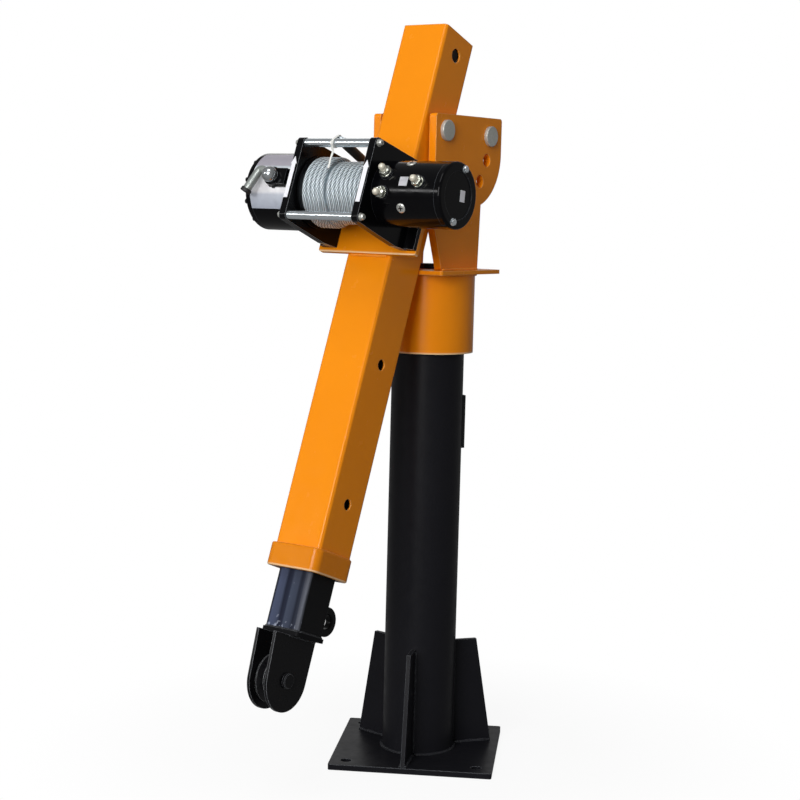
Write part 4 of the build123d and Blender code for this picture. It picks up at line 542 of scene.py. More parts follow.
tie_screws = bmesh.new()
for side in (-1, 1):
    for aside in (-TIE_ASIDE, TIE_ASIDE):
        spot = Matrix.Translation((TIE_OUT, aside, side * FRAME_OUTER[side]))
        facing = spot @ Matrix.Rotation(0 if side > 0 else math.pi, 4, "X")
        gather(tie_screws, turned(TIE_WASHER, 28), facing)
        gather(tie_screws, screw_head(TIE_HEAD), facing @ Matrix.Translation((0, 0, TIE_WASHER_TOP)))
place("tie_rod_screws", tie_screws, winch, [screw_zinc], "boom", "zinc_plate", "tie_rod_bolts")

# Rim screws of the gearbox cover: ten small socket caps on a circle, oil-blacked, which hold the cover
# on the housing.
COVER_FACE, RIM_SCREWS_R = -118.0, 40
RIM_SCREWS, RIM_SCREWS_START = 10, 2
RIM_HEAD = ((3.0, -0.05), (3.0, 3.1), (2.7, 3.5), (1.45, 3.5, 6), (1.4, 1.6, 6))
rim_screws = bmesh.new()
for i in range(RIM_SCREWS):
    spot = ray(RIM_SCREWS_START + 360 / RIM_SCREWS * i) * RIM_SCREWS_R + Vector((0, 0, COVER_FACE))
    turn = Matrix.Rotation(math.pi, 4, "X")
    gather(rim_screws, screw_head(RIM_HEAD), Matrix.Translation(spot) @ turn)
place("cover_rim_screws", rim_screws, winch, [oiled_black], "boom", "black_oxide", "cover_screws")

# Pole screws and through bolts of the motor: cross-head screws round the can hold the magnets, and
# two hexagon heads on the end cap clamp the motor together. All bright zinc, but the cross recesses of
# the pole screws are coloured black as painted shade.
MOTOR_R, CAP_FACE = 37.5, 150.0
POLE_Z, POLE_SUNK = 97.0, 0.4
RECESS_R, RECESS_TOP = 2.9, 1.4
POLE_HEAD = ((5.7, 0.0), (5.7, 0.7), (5.2, 1.25), (3.9, 1.6), (3.0, 1.62, 0, 0.75), (2.2, 0.4, 0, 0.4))
CLAMP_UP = 31.0
CLAMP_HEAD = ((4.3, -0.05), (4.3, 0.7), (3.55, 0.8, 6), (3.55, 3.1, 6), (3.3, 3.5), (1.2, 3.5), (0.8, 3.3))


def standing(spot, way):
    """Matrix that stands a shape on a spot, its z along a direction."""
    return Matrix.Translation(spot) @ Vector(way).to_track_quat("Z", "Y").to_matrix().to_4x4()


pole_heads = bmesh.new()
for turn in (45, 135, 225, 315):
    out = ray(-turn)
    pan = screw_head(POLE_HEAD)
    for face in pan.faces:
        middle = face.calc_center_median()
        # Faces inside the cross recess take the black finish: painted shade.
        face.material_index = int(middle.to_2d().length < RECESS_R and middle.z < RECESS_TOP)
    gather(pole_heads, pan, standing(out * (MOTOR_R - POLE_SUNK) + Vector((0, 0, POLE_Z)), out))
place("pole_screw_heads", pole_heads, winch, [screw_zinc, oiled_black], "boom", "zinc_plate", "pole_screws")
clamp_heads = bmesh.new()
for up in (-CLAMP_UP, CLAMP_UP):
    gather(clamp_heads, screw_head(CLAMP_HEAD), Matrix.Translation((0, up, CAP_FACE)))
place("motor_bolt_heads", clamp_heads, winch, [rod_zinc], "boom", "zinc_plate", "motor_through_bolts")

# Motor terminals: three threaded studs, each with a flat washer and a chamfered nut, for the cables.
# The round-ended studs are pale passivated brass, the nuts and washers are zinc plated.
BOSS_R = 39.5
TERMINALS = ((74.0, 16.0), (73.5, -18.0), (121.0, 0.0))
STUD_END = ((0, 14.4), (1.6, 14.05), (2.9, 13.1), (3.8, 11.6), (4.1, 10.1), (3.8, 8.7))
STUD_FOOT = ((3.6, 4.0), (0, 4.0))
STUD_WASHER = ((4.0, 0.0), (6.7, 0.0), (6.85, 0.2), (6.85, 1.0), (6.6, 1.2), (4.0, 1.2))
STUD_NUT = ((5.5, 1.2), (5.8, 1.7, 6), (5.8, 5.4, 6), (5.5, 6.0), (3.9, 6.0), (3.7, 5.6))
stud_brass = metal("passivated_brass", "f0ebdc", "d6d0bc", rough=0.3, shine=0.3)
nut_zinc = metal("bright_nut_zinc", "d0d2ca", "a3a598", rough=0.22, grain_mm=1.2, shine=0.9)
thread = [*STUD_END]
for pitch in range(3):
    thread += [(3.4, 8.2 - pitch), (3.8, 7.7 - pitch)]
thread += STUD_FOOT
terminals = bmesh.new()
for along_can, turn in TERMINALS:
    out = ray(-turn)
    facing = standing(out * BOSS_R + Vector((0, 0, along_can)), out)
    gather(terminals, turned(thread, 28), facing)
    gather(terminals, turned(STUD_WASHER, 32), facing, 1)
    nut_turn = Matrix.Rotation(math.radians(turn * 3), 4, "Z")
    gather(terminals, screw_head(STUD_NUT), facing @ nut_turn, 1)
place("terminal_studs", terminals, winch, [stud_brass, nut_zinc], "boom", "terminal_brass", "motor_terminals")

# Wire rope on the drum: six galvanised strands laid right-handed round a core, thirteen turns in two
# levels. The strands are modelled, a fine spangle on them stands for their wires, and a darker colour
# painted into the grooves between them stands for the shade there.
ROPE_R, LAY, STRANDS = 2.6, 34.0, 6
ROPE_FIRST, ROPE_PITCH, ROPE_TURNS, ROPE_HIGH_TURNS = -38.3, 6.1, 13, 4.5
ROPE_HIGH, ROPE_LOW = 38.4, 33.4
ROPE_STEPS, ROPE_LEAD = 160, 5.2
STRAND_POINTS = (-76, -38, 0, 38, 76)
STRAND_SHADE = (1.0, 0.15, 0.0, 0.15, 1.0)
SPANGLE_MM = 0.9


def wire_rope(name, path, at, finish, body, slot, *stands_for):
    """A laid rope along a path in mm: the section of six strands swept and twisted once per lay."""
    section = bpy.data.curves.new(name + "_section", "CURVE")
    section.dimensions = "2D"
    rim = section.splines.new("POLY")
    rim.points.add(STRANDS * len(STRAND_POINTS) - 1)
    rim.use_cyclic_u = True
    strand = ROPE_R / 3
    for i, point in enumerate(rim.points):
        middle = math.tau * (i // len(STRAND_POINTS)) / STRANDS
        angle = middle + math.radians(STRAND_POINTS[i % len(STRAND_POINTS)])
        point.co = (2 * strand * math.cos(middle) + strand * math.cos(angle),
                    2 * strand * math.sin(middle) + strand * math.sin(angle), 0, 1)
    shape = put(name + "_section", section)
    route = bpy.data.curves.new(name + "_route", "CURVE")
    route.dimensions = "3D"
    route.bevel_mode = "OBJECT"
    route.bevel_object = shape
    route.use_fill_caps = True
    route.twist_mode = "MINIMUM"
    line = route.splines.new("POLY")
    line.points.add(len(path) - 1)
    run = -sum((end - start).length for start, end in zip(path, path[1:])) / 2
    for i, (point, spot) in enumerate(zip(line.points, path)):
        run += (spot - path[i - 1]).length if i else 0.0
        point.co = (*spot, 1)
        point.tilt = math.tau * run / LAY
    holder = put(name + "_route", route)
    bpy.context.view_layer.update()
    ready = bpy.context.evaluated_depsgraph_get()
    mesh = bpy.data.meshes.new_from_object(holder.evaluated_get(ready), depsgraph=ready)
    bm = poured(mesh, bmesh.new())
    # Painted shade: each section point carries how deep it lies in a groove between strands.
    dark = bm.verts.layers.float.new("groove_shade")
    for vert in bm.verts:
        vert[dark] = STRAND_SHADE[vert.index % len(STRAND_POINTS)]
    for helper in (holder, shape):
        bpy.data.objects.remove(helper)
    bpy.data.curves.remove(route)
    bpy.data.curves.remove(section)
    place(name, bm, at, [finish], body, slot, *stands_for)


def rope_level(turns):
    """Radius of the rope's centre line, which steps down within half a turn."""
    step = min(max((turns - ROPE_HIGH_TURNS) / 0.5, 0.0), 1.0)
    return ROPE_HIGH + (ROPE_LOW - ROPE_HIGH) * (1 - math.cos(math.pi * step)) / 2


rope_zinc, tree, where, shader = begin("galvanised_wire")
groove_shade = add(tree, "Attribute", attribute_name="groove_shade")
spangle = add(tree, "TexNoise", {"Vector": where, "Scale": 1 / (SPANGLE_MM * MM), "Detail": 3.0})
wires = add(tree, "Mix", {0: spangle, 6: "dcebf3", 7: "f6fcff"}, "RGBA")
# Painted shade in the grooves between strands.
laid = add(tree, "Mix", {0: groove_shade.outputs["Fac"], 6: wires, 7: "566068"}, "RGBA")
worn = add(tree, "MapRange", {0: spangle, 1: NOISE_LOW, 2: NOISE_HIGH, 3: 0.3, 4: 0.45})
fine = add(tree, "Bump", {"Height": spangle, "Strength": 0.2, "Distance": GRAIN_DEPTH_MM * MM})
wire(tree, shader, {"Base Color": laid, "Metallic": 0.4, "Roughness": worn, "Normal": fine})
rope_path = []
for i in range(ROPE_STEPS * ROPE_TURNS + 1):
    turns = i / ROPE_STEPS
    angle = math.radians(180 + 360 * turns)
    out = rope_level(turns)
    rope_path.append(Vector((out * math.cos(angle), out * math.sin(angle), ROPE_FIRST + turns * ROPE_PITCH)))
lead_in = (rope_path[0] - rope_path[1]).normalized() * ROPE_LEAD
lead_out = (rope_path[-1] - rope_path[-2]).normalized() * ROPE_LEAD
rope_path = [rope_path[0] + lead_in, *rope_path, rope_path[-1] + lead_out]
wire_rope("drum_rope", rope_path, winch, rope_zinc, "drum", "rope_steel", "rope_winding")
dress(rope_zinc, "rope_core")

# Rope end: a small eye in the rope, its legs held in a long ferrule under a black rubber sleeve. It
# lies above the drum, with the eye's bow strapped to the upper tie rod.
EYE_ROOT, EYE_TILT, EYE_LEAN = (22.965, -49.91, -3.0), math.radians(5.7), math.radians(20.0)
EYE_LEG, EYE_LEG_HALF, EYE_LEG_SUNK, EYE_BOW_R = 8.0, 2.65, 0.5, 5.73
EYE_STEP, STUB_FROM, STUB_TO = 0.5, -30.0, -40.0
SLEEVE_PROFILE = ((0, 1.0), (4.4, 1.0), (5.2, 0.7), (5.5, 0.0), (5.45, -12.0), (5.5, -24.0), (5.4, -33.4),
                  (4.6, -34.7), (0, -35.0))
eye_seat = winch @ Matrix.Translation(EYE_ROOT) @ Matrix.Rotation(-EYE_TILT, 4, "Z")
bow_mid = EYE_LEG * math.cos(EYE_LEAN) + EYE_BOW_R * math.sin(EYE_LEAN)
eye_path = [(-EYE_LEG_SUNK, 0, -EYE_LEG_HALF)]
for i in range(41):
    angle = (math.pi / 2 + EYE_LEAN) * (i / 20 - 1)
    eye_path.append((bow_mid + EYE_BOW_R * math.cos(angle), 0, EYE_BOW_R * math.sin(angle)))
eye_path = along([*eye_path, (-EYE_LEG_SUNK, 0, EYE_LEG_HALF)], EYE_STEP)
wire_rope("rope_eye_loop", eye_path, eye_seat, rope_zinc, "boom", "rope_steel", "rope_eye")
sleeve_rubber = moulded("black_rubber", "161617", "101011", rough=0.55, grain_mm=0.7, depth=0.15)
sleeve_seat = eye_seat @ standing((0, 0, 0), (1, 0, 0))
place("rope_eye_sleeve", turned(SLEEVE_PROFILE, 36), sleeve_seat, [sleeve_rubber], "boom", "rope_steel")
stub_path = along([(STUB_FROM, 0, 0), (STUB_TO, 0, 0)], EYE_STEP)
wire_rope("rope_eye_stub", stub_path, eye_seat, rope_zinc, "boom", "rope_steel")

# Tie strap: white nylon strip looped once round the upper tie rod and the rope eye's bow, with its
# locking head in front and the spare tail hanging down over the rope.
STRAP_HALF, STRAP_THICK, STRAP_Z = 1.45, 0.9, -3.0
TAIL_HALF, TAIL_THICK = 1.3, 0.8
ROD_LOOP, BOW_LOOP = 5.6, 3.6
ROD_STEPS, BOW_STEPS = 24, 16
STRAP_EDGE = ((-1, -0.6), (-0.8, -1), (0.8, -1), (1, -0.6), (1, 0.6), (0.8, 1), (-0.8, 1), (-1, 0.6))
LOCK_SIZE, LOCK_SPOT, LOCK_TURN = (3.0, 4.4, 4.2), (48.6, -41.6, 0), math.radians(24)
TAIL_ROUTE = ((48.6, -42.0, 0), (46.4, -36.6, 0), (43.6, -35.0, 0), (42.9, -31.5, 0), (44.0, -26.0, 0),
              (44.0, -20.0, 0), (43.9, -12.6, 0))


def heading_at(path, i):
    """Direction of a path at one of its points."""
    return (path[min(i + 1, len(path) - 1)] - path[max(i - 1, 0)]).normalized()


def ribbon(bm, path, half, thick):
    """A flat strip with rounded edges along a path in the winch's x and y."""
    rows = []
    for i, spot in enumerate(path):
        heading = heading_at(path, i)
        rise = Vector((-heading.y, heading.x))
        edge = [(*(spot + rise * up * thick / 2), across * half) for across, up in STRAP_EDGE]
        rows.append(hoop(bm, edge))
    skin(bm, rows, rows[0], rows[-1])


def smooth_route(corners):
    """Points of the NURBS line that has these corners as its control points."""
    route = bpy.data.curves.new("route", "CURVE")
    route.dimensions = "3D"
    route.resolution_u = 12
    line = route.splines.new("NURBS")
    line.points.add(len(corners) - 1)
    for point, corner in zip(line.points, corners):
        point.co = (*corner, 1)
    line.order_u = 3
    line.use_endpoint_u = True
    mesh = mesh_of(route)
    points = [vert.co.copy() for vert in mesh.vertices]
    bpy.data.meshes.remove(mesh)
    return points


strap_white = moulded("white_nylon_strip", "eeeeea", "dcdcd6", rough=0.35, grain_mm=1.2, depth=0.08)
rod_mid, bow_spot = Vector((TIE_OUT, -TIE_ASIDE)), Vector((38.09, -51.42))
lean = math.degrees(math.atan2(rod_mid.y - bow_spot.y, rod_mid.x - bow_spot.x))
open_rod = math.degrees(math.acos((BOW_LOOP - ROD_LOOP) / (rod_mid - bow_spot).length))
over_rod = arc(ROD_LOOP, 0, lean + open_rod - 180, lean - open_rod + 180, ROD_STEPS)
over_bow = arc(BOW_LOOP, 0, lean - open_rod + 180, lean + open_rod + 180, BOW_STEPS)
strap_path = [rod_mid + Vector(spot[:2]) for spot in over_rod]
strap_path += [bow_spot + Vector(spot[:2]) for spot in over_bow]
strap_path.append(strap_path[0])
strap = bmesh.new()
ribbon(strap, strap_path, STRAP_HALF, STRAP_THICK)
lock = bmesh.new()
bmesh.ops.create_cube(lock, size=1)
bmesh.ops.scale(lock, vec=LOCK_SIZE, verts=lock.verts)
bmesh.ops.bevel(lock, geom=lock.edges, offset=0.6, segments=2, profile=0.5, affect="EDGES", material=-1)
gather(strap, lock, Matrix.Translation(LOCK_SPOT) @ Matrix.Rotation(LOCK_TURN, 4, "Z"))
tail = smooth_route(TAIL_ROUTE)
ribbon(strap, [spot.to_2d() for spot in tail], TAIL_HALF, TAIL_THICK)
strap_seat = winch @ Matrix.Translation((0, 0, STRAP_Z))
place("rope_eye_strap", strap, strap_seat, [strap_white], "boom", "nylon", "tie_strap")

# Clutch: a plated ball-shaped hub on the gearbox with a bent handle of plain steel tube, turned by
# hand to free the drum. A black rubber ring is pushed over the tube's open end.
CLUTCH_Z, HUB_BASE = -76.0, 51.1
HUB_R, HUB_MID, HUB_RISE, HUB_FOOT_R = 9.3, 4.2, 9.2, 8.4
HANDLE_OUT, HANDLE_BORE = 56.75, 13.0
HANDLE_ROOT_R, HANDLE_END_R, HANDLE_BORE_R = 4.2, 5.25, 3.8
HANDLE_BENDS = ((0.5, 0.0), (-2.5, 5.0), (-5.6, 11.2), (-4.0, 15.2), (5.5, 19.8), (22.4, 28.0))
GRIP_PROFILE = ((3.9, -9.0), (5.3, -4.2), (6.0, -4.0), (6.5, -3.0), (6.6, -0.2), (6.2, 0.7), (5.4, 1.0),
                (4.4, 0.8), (3.7, 0.0), (3.6, -9.0), (3.9, -9.0))
chrome = metal("chromium_plate", "c9cdcf", "abafb2", rough=0.2, grain_mm=1.6, depth=0.0, shine=0.9,
               uneven=0.03, soft_mm=0)
tube_grey = metal("satin_zinc_tube", "a9aeab", "868c89", rough=0.44, grain_mm=1.1, depth=0.04, shine=0.6)
dome = []
for turn in range(0, 118, 9):
    angle = math.radians(turn)
    dome.append((HUB_R * math.sin(angle), HUB_MID + HUB_RISE * math.cos(angle)))
hub = turned([*dome, (HUB_FOOT_R, 0.0), (0, 0.0)], 48)
hub_seat = winch @ standing((HUB_BASE, 0, CLUTCH_Z), (1, 0, 0))
place("clutch_hub", hub, hub_seat, [chrome], "clutch", "chrome_lever", "clutch_lever")
handle_corners = [(HANDLE_OUT, drop, CLUTCH_Z - aside) for drop, aside in HANDLE_BENDS]
handle_route = smooth_route(handle_corners)
last = len(handle_route) - 1
handle = bmesh.new()
rows = []
for i, spot in enumerate(handle_route):
    heading = heading_at(handle_route, i)
    side = heading.cross(Vector((1, 0, 0)))
    flare = HANDLE_ROOT_R + (HANDLE_END_R - HANDLE_ROOT_R) * i / last
    made = bmesh.ops.create_circle(handle, segments=24, radius=flare)
    turn = Matrix((side, Vector((1, 0, 0)), heading)).transposed().to_4x4()
    bmesh.ops.transform(handle, matrix=Matrix.Translation(spot) @ turn, verts=made["verts"])
    rows.append([edge for edge in handle.edges if all(vert in made["verts"] for vert in edge.verts)])
skin(handle, rows, rows[0])
mouth = handle_route[last]
heading = heading_at(handle_route, last)
rim = bmesh.ops.extrude_edge_only(handle, edges=rows[-1])["geom"]
for vert in (part for part in rim if isinstance(part, bmesh.types.BMVert)):
    vert.co = mouth + (vert.co - mouth) * HANDLE_BORE_R / HANDLE_END_R
rim_edges = [part for part in rim if isinstance(part, bmesh.types.BMEdge)]
bore = bmesh.ops.extrude_edge_only(handle, edges=rim_edges)["geom"]
bore_verts = [part for part in bore if isinstance(part, bmesh.types.BMVert)]
bmesh.ops.translate(handle, vec=heading * -HANDLE_BORE, verts=bore_verts)
bmesh.ops.contextual_create(handle, geom=[part for part in bore if isinstance(part, bmesh.types.BMEdge)])
place("clutch_handle", handle, winch, [tube_grey], "clutch", "chrome_lever", "clutch_lever")
grip_seat = winch @ standing(mouth, heading)
place("clutch_handle_grip", turned(GRIP_PROFILE, 28), grip_seat, [sleeve_rubber], "clutch", "chrome_lever")

# Blank foil label round the gearbox, cut out round the clutch boss, and blank tags on the motor and
# its end cap: thin printed foil and vinyl, stuck on the black enamel.
LABEL_R, LABEL_LEFT, LABEL_RIGHT = 45.05, -110.4, -54.2
LABEL_LOW_TURN, LABEL_HIGH_TURN = -47.0, 50.0
LABEL_RISE, LABEL_DROP = 34.5, 33
LABEL_CUT_HALF, LABEL_CUT_R = 11.5, 12.5
LABEL_CLOUD_MM, FOIL_THICK = 9, 0.12
LABEL_BANDS = ((0.0, "a8a3ae"), (0.27, "aea9b3"), (0.3, "ccd6dc"), (0.36, "fafafd"), (0.75, "fcfbfe"),
               (0.8, "cfd4df"), (1.0, "bac1cf"))
CAP_TAG_SIZE, CAP_TAG_SPOT, CAP_TAG_TURN = (9.5, 13.0, 1), (-9.3, -2.8, CAP_FACE - 1.15), math.radians(14)


def wrapped(radius, z_from, z_to, turn_from, turn_to, columns, rows_count):
    """A thin sheet bent round the winch's axis, its angles counted upward from the front."""
    shape = bmesh.new()
    bmesh.ops.create_grid(shape, x_segments=columns, y_segments=rows_count, size=0.5)
    for vert in shape.verts:
        angle = math.radians(turn_from + (turn_to - turn_from) * (vert.co.y + 0.5))
        z = z_from + (z_to - z_from) * (vert.co.x + 0.5)
        vert.co = (radius * math.cos(angle), -radius * math.sin(angle), z)
    return shape


label_foil, tree, where, shader = begin("printed_foil")
drop = add(tree, "VectorMath", {0: where, 1: boom_down}, "DOT_PRODUCT")
label_mid = (winch_spot * MM).dot(boom_down)
label_way = add(tree, "MapRange", {0: drop, 1: label_mid - LABEL_RISE * MM, 2: label_mid + LABEL_DROP * MM})
bands = add(tree, "ValToRGB", {"Fac": label_way}, stops=LABEL_BANDS)
cloud = add(tree, "TexNoise", {"Vector": where, "Scale": 1 / (LABEL_CLOUD_MM * MM), "Detail": 4.0})
gloss = add(tree, "MapRange", {0: cloud, 1: NOISE_LOW, 2: NOISE_HIGH, 3: 0.36, 4: 0.52})
tone = add(tree, "MapRange", {0: cloud, 1: NOISE_LOW, 2: NOISE_HIGH, 3: 0.0, 4: 0.22})
clouded = add(tree, "Mix", {0: tone, 6: bands, 7: "868b99"}, "RGBA")
wire(tree, shader, {"Base Color": clouded, "Metallic": 0.15, "Roughness": gloss})
label = wrapped(LABEL_R, LABEL_LEFT, LABEL_RIGHT, LABEL_LOW_TURN, LABEL_HIGH_TURN, 42, 60)
gone = []
for face in label.faces:
    spot = face.calc_center_median()
    up = -math.asin(spot.y / LABEL_R) * LABEL_R
    beside = abs(up) < LABEL_CUT_HALF and spot.z > CLUTCH_Z
    if beside or math.hypot(up, spot.z - CLUTCH_Z) < LABEL_CUT_R:
        gone.append(face)
bmesh.ops.delete(label, geom=gone, context="FACES")
bmesh.ops.solidify(label, geom=label.faces, thickness=-FOIL_THICK)
place("gearbox_label", label, winch, [label_foil], "boom", "bare_aluminium")
white_vinyl = moulded("white_vinyl", "f2f2f6", "e8e8ee", rough=0.4, grain_mm=0.9, depth=0.05)
tags = wrapped(MOTOR_R + 0.05, 94.2, 105.2, -6.5, 10.0, 4, 8)
cap_tag = bmesh.new()
bmesh.ops.create_grid(cap_tag, x_segments=2, y_segments=3, size=0.5)
bmesh.ops.scale(cap_tag, vec=CAP_TAG_SIZE, verts=cap_tag.verts)
gather(tags, cap_tag, Matrix.Translation(CAP_TAG_SPOT) @ Matrix.Rotation(CAP_TAG_TURN, 4, "Z"))
bmesh.ops.solidify(tags, geom=tags.faces, thickness=-FOIL_THICK)
place("motor_tags", tags, winch, [white_vinyl], "boom", "nylon")

# Arrow strips on the front edges of both winch frames: plain white vinyl with a pointed upper end,
# which show which way the drum turns.
FRAME_FRONT = 49.05
ARROWS = ((-25.0, 25.2, -50.0, 2.75), (-21.3, 28.5, 53.1, 3.0))
ARROW_HEAD, ARROW_HALF = 9.0, 4.1
arrows = bmesh.new()
for tip, foot, across, half in ARROWS:
    neck = tip + ARROW_HEAD
    outline = [(tip, 0.0), (neck, ARROW_HALF), (neck, half), (foot, half), (foot, -half), (neck, -half),
               (neck, -ARROW_HALF)]
    arrows.faces.new([arrows.verts.new((FRAME_FRONT, y, across + z)) for y, z in outline])
bmesh.ops.recalc_face_normals(arrows, faces=arrows.faces)
bmesh.ops.solidify(arrows, geom=arrows.faces, thickness=-FOIL_THICK)
place("frame_arrows", arrows, winch, [white_vinyl], "boom", "nylon")

# Extension: square steel tube that slides in the boom. Its front is bare zinc-coated steel, streaked
# where it has rubbed, with light and dark lengthwise bands painted in as reflections and a pale strip by
# its right corner painted in as a highlight; its sides carry the black enamel of the sheave head.
EXT_HALF, EXT_END = 24.4, 616.0
STREAK_WIDE_MM, STREAK_LONG_MM, STREAK_WAVER = 2.2, 60, 0.045
FLECK_MM, FLECK_RUN_MM = 4.2, 16
# Across the front from left to right: a dark edge, bands of painted reflection, and a pale painted highlight
# by the right corner.
STREAK_AND_REFLECTION_BANDS = ((0.0, "0c0d10"), (0.07, "101116"), (0.11, "464e66"), (0.3, "3e455a"), (0.37, "191d2d"),
           (0.46, "212637"), (0.52, "3e4556"), (0.68, "373d4d"), (0.76, "1c202d"), (0.84, "2b2f3c"),
           (0.9, "565963"), (0.97, "4e515a"), (1.0, "2f3136"))
slide_face, tree, where, shader = begin("rubbed_zinc_painted_reflections_and_black_enamel")
flank = add(tree, "VectorMath", {0: where, 1: head_side}, "DOT_PRODUCT")
drop = add(tree, "VectorMath", {0: where, 1: boom_down}, "DOT_PRODUCT")
drop_end = EXT_END * MM + boom_zero
aside_mid = pivot_spot.dot(head_side)
across = add(tree, "MapRange", {0: flank, 1: aside_mid - EXT_HALF * MM, 2: aside_mid + EXT_HALF * MM})
lines = add(tree, "CombineXYZ", {0: flank, 1: drop})
drawn = add(tree, "Mapping", {"Vector": lines,
                              "Scale": (1 / (STREAK_WIDE_MM * MM), 1 / (STREAK_LONG_MM * MM), 1)})
streak = add(tree, "TexNoise", {"Vector": drawn, "Scale": 1.0, "Detail": 4.0})
waver = add(tree, "MapRange", {0: streak, 3: -STREAK_WAVER, 4: STREAK_WAVER})
band = add(tree, "Math", {0: across, 1: waver}, "ADD")
streaks_and_reflections = add(tree, "ValToRGB", {"Fac": band}, stops=STREAK_AND_REFLECTION_BANDS)
fleck = add(tree, "TexNoise", {"Vector": where, "Scale": 1 / (FLECK_MM * MM), "Detail": 4.0})
near_end = add(tree, "MapRange", {0: drop, 1: drop_end - FLECK_RUN_MM * MM, 2: drop_end, 3: -0.05, 4: 0.14})
lit = add(tree, "Math", {0: fleck, 1: near_end}, "ADD")
spatter = add(tree, "MapRange", {0: lit, 1: 0.62, 2: 0.78, 3: 0.0, 4: 0.85})
zinc_face = add(tree, "Mix", {0: spatter, 6: streaks_and_reflections, 7: "a9b0c2"}, "RGBA")
own_normal = add(tree, "TexCoord").outputs["Normal"]
front = add(tree, "VectorMath", {0: own_normal, 1: boom_front}, "DOT_PRODUCT")
bare = add(tree, "MapRange", {0: front, 1: 0.25, 2: 0.5})
colour = add(tree, "Mix", {0: bare, 6: "0d0d0f", 7: zinc_face}, "RGBA")
shine = add(tree, "Math", {0: bare, 1: 0.12}, "MULTIPLY")
wear = add(tree, "MapRange", {0: streak, 3: 0.4, 4: 0.56})
scratch = add(tree, "Bump", {"Height": streak, "Strength": 0.1, "Distance": GRAIN_DEPTH_MM * MM})
wire(tree, shader, {"Base Color": colour, "Metallic": shine, "Roughness": wear, "Normal": scratch,
                    "Specular IOR Level": 0.12})
dress(slide_face, "extension_tube")

# Sheave head: end plate, two round-ended cheeks and the parking eye, welded on the extension's end
# and sprayed black. The grooved sheave turns between the cheeks on an axle painted over with them, and
# its rims carry a bright painted highlight.
CHEEK_OUTER, CHEEK_BEAD_BACK, CHEEK_BEAD_FRONT = 14.1, -25.0, 25.5
END_PLATE_THICK, TIP_BEAD_OUT, EXT_CORNER = 5, 0.4, 4.0
EYE_HALF, EYE_BEAD_TOP, EYE_BEAD_END = 5.4, 38.0, 6.0
tip_black = enamel("gloss_black_enamel", "141416", "0f0f11", "9a9da2", rough=0.24, round_mm=1.2, peel=0.06)
plate_black = enamel("dull_black_enamel", "141416", "0f0f11", "34363a", rough=0.45, specular=0.05,
                     round_mm=1.2, peel=0.06)
# The sheave's pale edge colour is a painted highlight on its rims.
sheave_black = enamel("black_enamel_painted_highlight_at_rims", "131315", "0e0e10", "c8cbce", rough=0.26, specular=0.2)
dress(tip_black, "sheave_cheeks", "anchor_eye", "sheave_axle")
dress(plate_black, "end_plate")
dress(sheave_black, "sheave")
tip_runs = [square_run((EXT_HALF, TIP_BEAD_OUT), EXT_CORNER, EXT_END - TIP_BEAD_OUT)]
for side in (-1, 1):
    aside = side * (CHEEK_OUTER + TIP_BEAD_OUT)
    level = EXT_END + (END_PLATE_THICK + TIP_BEAD_OUT)
    tip_runs.append([(CHEEK_BEAD_BACK, level, aside), (CHEEK_BEAD_FRONT, level, aside)])
    back = -EXT_HALF - TIP_BEAD_OUT
    tip_runs.append([(back, EXT_END - EYE_BEAD_TOP, side * EYE_HALF),
                     (back, EXT_END - EYE_BEAD_END, side * EYE_HALF)])
weld_beads("sheave_head_welds", tip_runs, 3.2, boom, tip_black, "extension", "black_enamel")

# Stage: a plain white floor that keeps the shadow, white surroundings, large soft lights above and in
# front, a narrow strip at the left and a weak one behind, and the camera at the photograph's place.
# Mirrors see a tenth of the white, so that black gloss stays dark.
FLOOR_HALF, FLOOR_NEAR, FLOOR_FAR = 6.0, 0.2, 0.5
FLOOR_NEAR_WHITE, MIRRORED_WHITE, AMBIENT = 0.91, 0.1, 0.19
WHITE = (1, 1, 1, 1)


def seen_white(tree):
    """The light path's outputs, and the share of plain white that a ray sees."""
    seen = add(tree, "LightPath").outputs
    mirrored = add(tree, "Math", {0: seen["Is Glossy Ray"], 1: seen["Is Transmission Ray"]}, "ADD")
    faint = add(tree, "Math", {0: mirrored, 1: MIRRORED_WHITE}, "MULTIPLY")
    share = add(tree, "Math", {0: faint, 1: seen["Is Camera Ray"]}, "ADD", use_clamp=True)
    return seen, share


floor = bmesh.new()
bmesh.ops.create_grid(floor, x_segments=1, y_segments=1, size=FLOOR_HALF)
floor_mesh = bpy.data.meshes.new("studio_floor")
floor.to_mesh(floor_mesh)
floor.free()
floor_piece = put("studio_floor", floor_mesh)
paper = bpy.data.materials.new("white_paper")
tree = opened(paper)
seen, share = seen_white(tree)
where = add(tree, "TexCoord").outputs["Object"]
away = add(tree, "VectorMath", {0: where}, "LENGTH")
plain = add(tree, "MapRange", {0: away, 1: FLOOR_NEAR, 2: FLOOR_FAR, 3: FLOOR_NEAR_WHITE, 4: 1.0})
show = add(tree, "Math", {0: share, 1: plain}, "MULTIPLY")
tint = add(tree, "Mix", {0: seen["Is Camera Ray"], 6: "8a8a8a", 7: "f6f6f6"}, "RGBA")
matt = add(tree, "BsdfDiffuse", {"Color": tint})
white = add(tree, "Emission", {"Color": WHITE, "Strength": 1.0})
mixed = add(tree, "MixShader", {0: show, 1: matt, 2: white})
add(tree, "OutputMaterial", {"Surface": mixed})
floor_mesh.materials.append(paper)

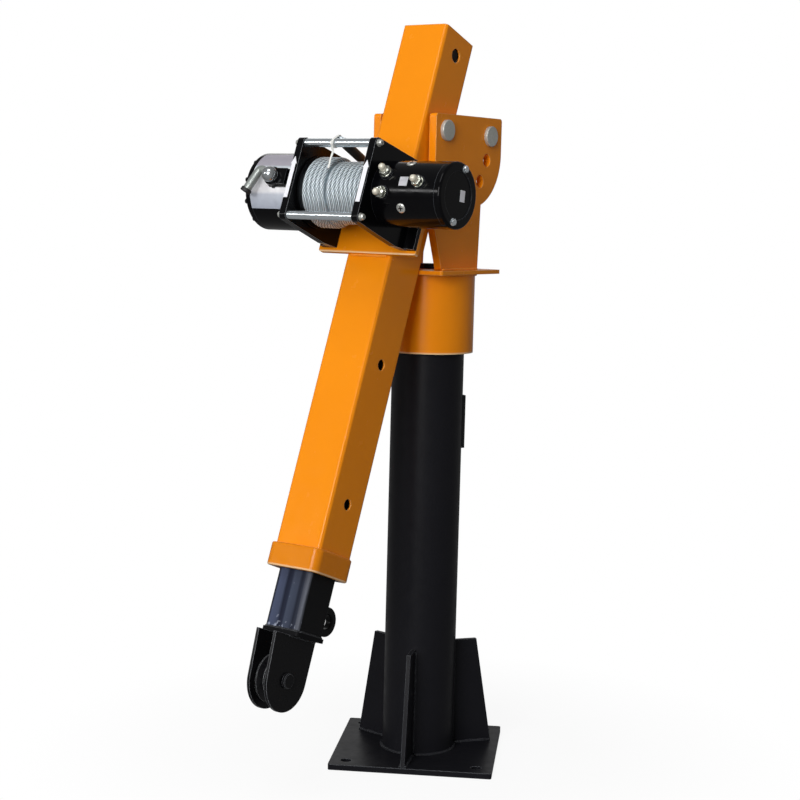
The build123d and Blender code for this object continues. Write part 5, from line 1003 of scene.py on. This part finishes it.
sky = bpy.data.worlds.new("studio_white")
scene.world = sky
tree = opened(sky)
seen, share = seen_white(tree)
room = add(tree, "Background", {"Color": WHITE, "Strength": AMBIENT})
backdrop = add(tree, "Background", {"Color": WHITE, "Strength": 1.0})
mixed = add(tree, "MixShader", {0: share, 1: room, 2: backdrop})
add(tree, "OutputWorld", {"Surface": mixed})

OBJECT_MIDDLE = (-0.06, -0.1, 0.5)
# each soft light: name, direction from the object's middle, metres away, width and height, watts
SOFT_LIGHTS = (("key_light", (-0.143, -0.526, 0.838), 3.5, 1.6, 1.6, 36.0),
               ("front_light", (-0.25, -0.95, 0.25), 3.5, 1.6, 1.6, 80.0),
               ("strip_light", (-0.88, -0.425, 0.21), 8.0, 1.8, 0.6, 52.0),
               ("back_light", (-0.2, 0.9, 0.45), 2.8, 1.4, 1.4, 6.0))
for name, way, distance, wide, high, watts in SOFT_LIGHTS:
    lamp = bpy.data.lights.new(name, "AREA")
    lamp.shape = "RECTANGLE"
    lamp.size, lamp.size_y = wide, high
    lamp.energy = watts
    holder = put(name, lamp)
    away = Vector(way).normalized()
    holder.location = Vector(OBJECT_MIDDLE) + away * distance
    holder.rotation_euler = away.to_track_quat("Z", "Y").to_euler()

FOCAL_PX, FRAME_PX, SENSOR_MM = 1767.037, 800, 36.0
CAMERA_SPOT = (204.058, -2171.494, 688.146)
yaw, pitch, roll = math.radians(6.242), math.radians(6.335), math.radians(-1.475)
aim = Matrix.Rotation(yaw, 4, "Z") @ Matrix.Rotation(math.pi / 2 - pitch, 4, "X")
lens = bpy.data.cameras.new("photo_camera")
lens.sensor_fit = "HORIZONTAL"
lens.sensor_width = SENSOR_MM
lens.lens = FOCAL_PX / FRAME_PX * SENSOR_MM
lens.clip_start, lens.clip_end = 0.05, 60.0
camera = put("photo_camera", lens)
camera.matrix_world = Matrix.Translation(Vector(CAMERA_SPOT) * MM) @ aim @ Matrix.Rotation(-roll, 4, "Z")
scene.camera = camera
scene.view_settings.view_transform = "Standard"
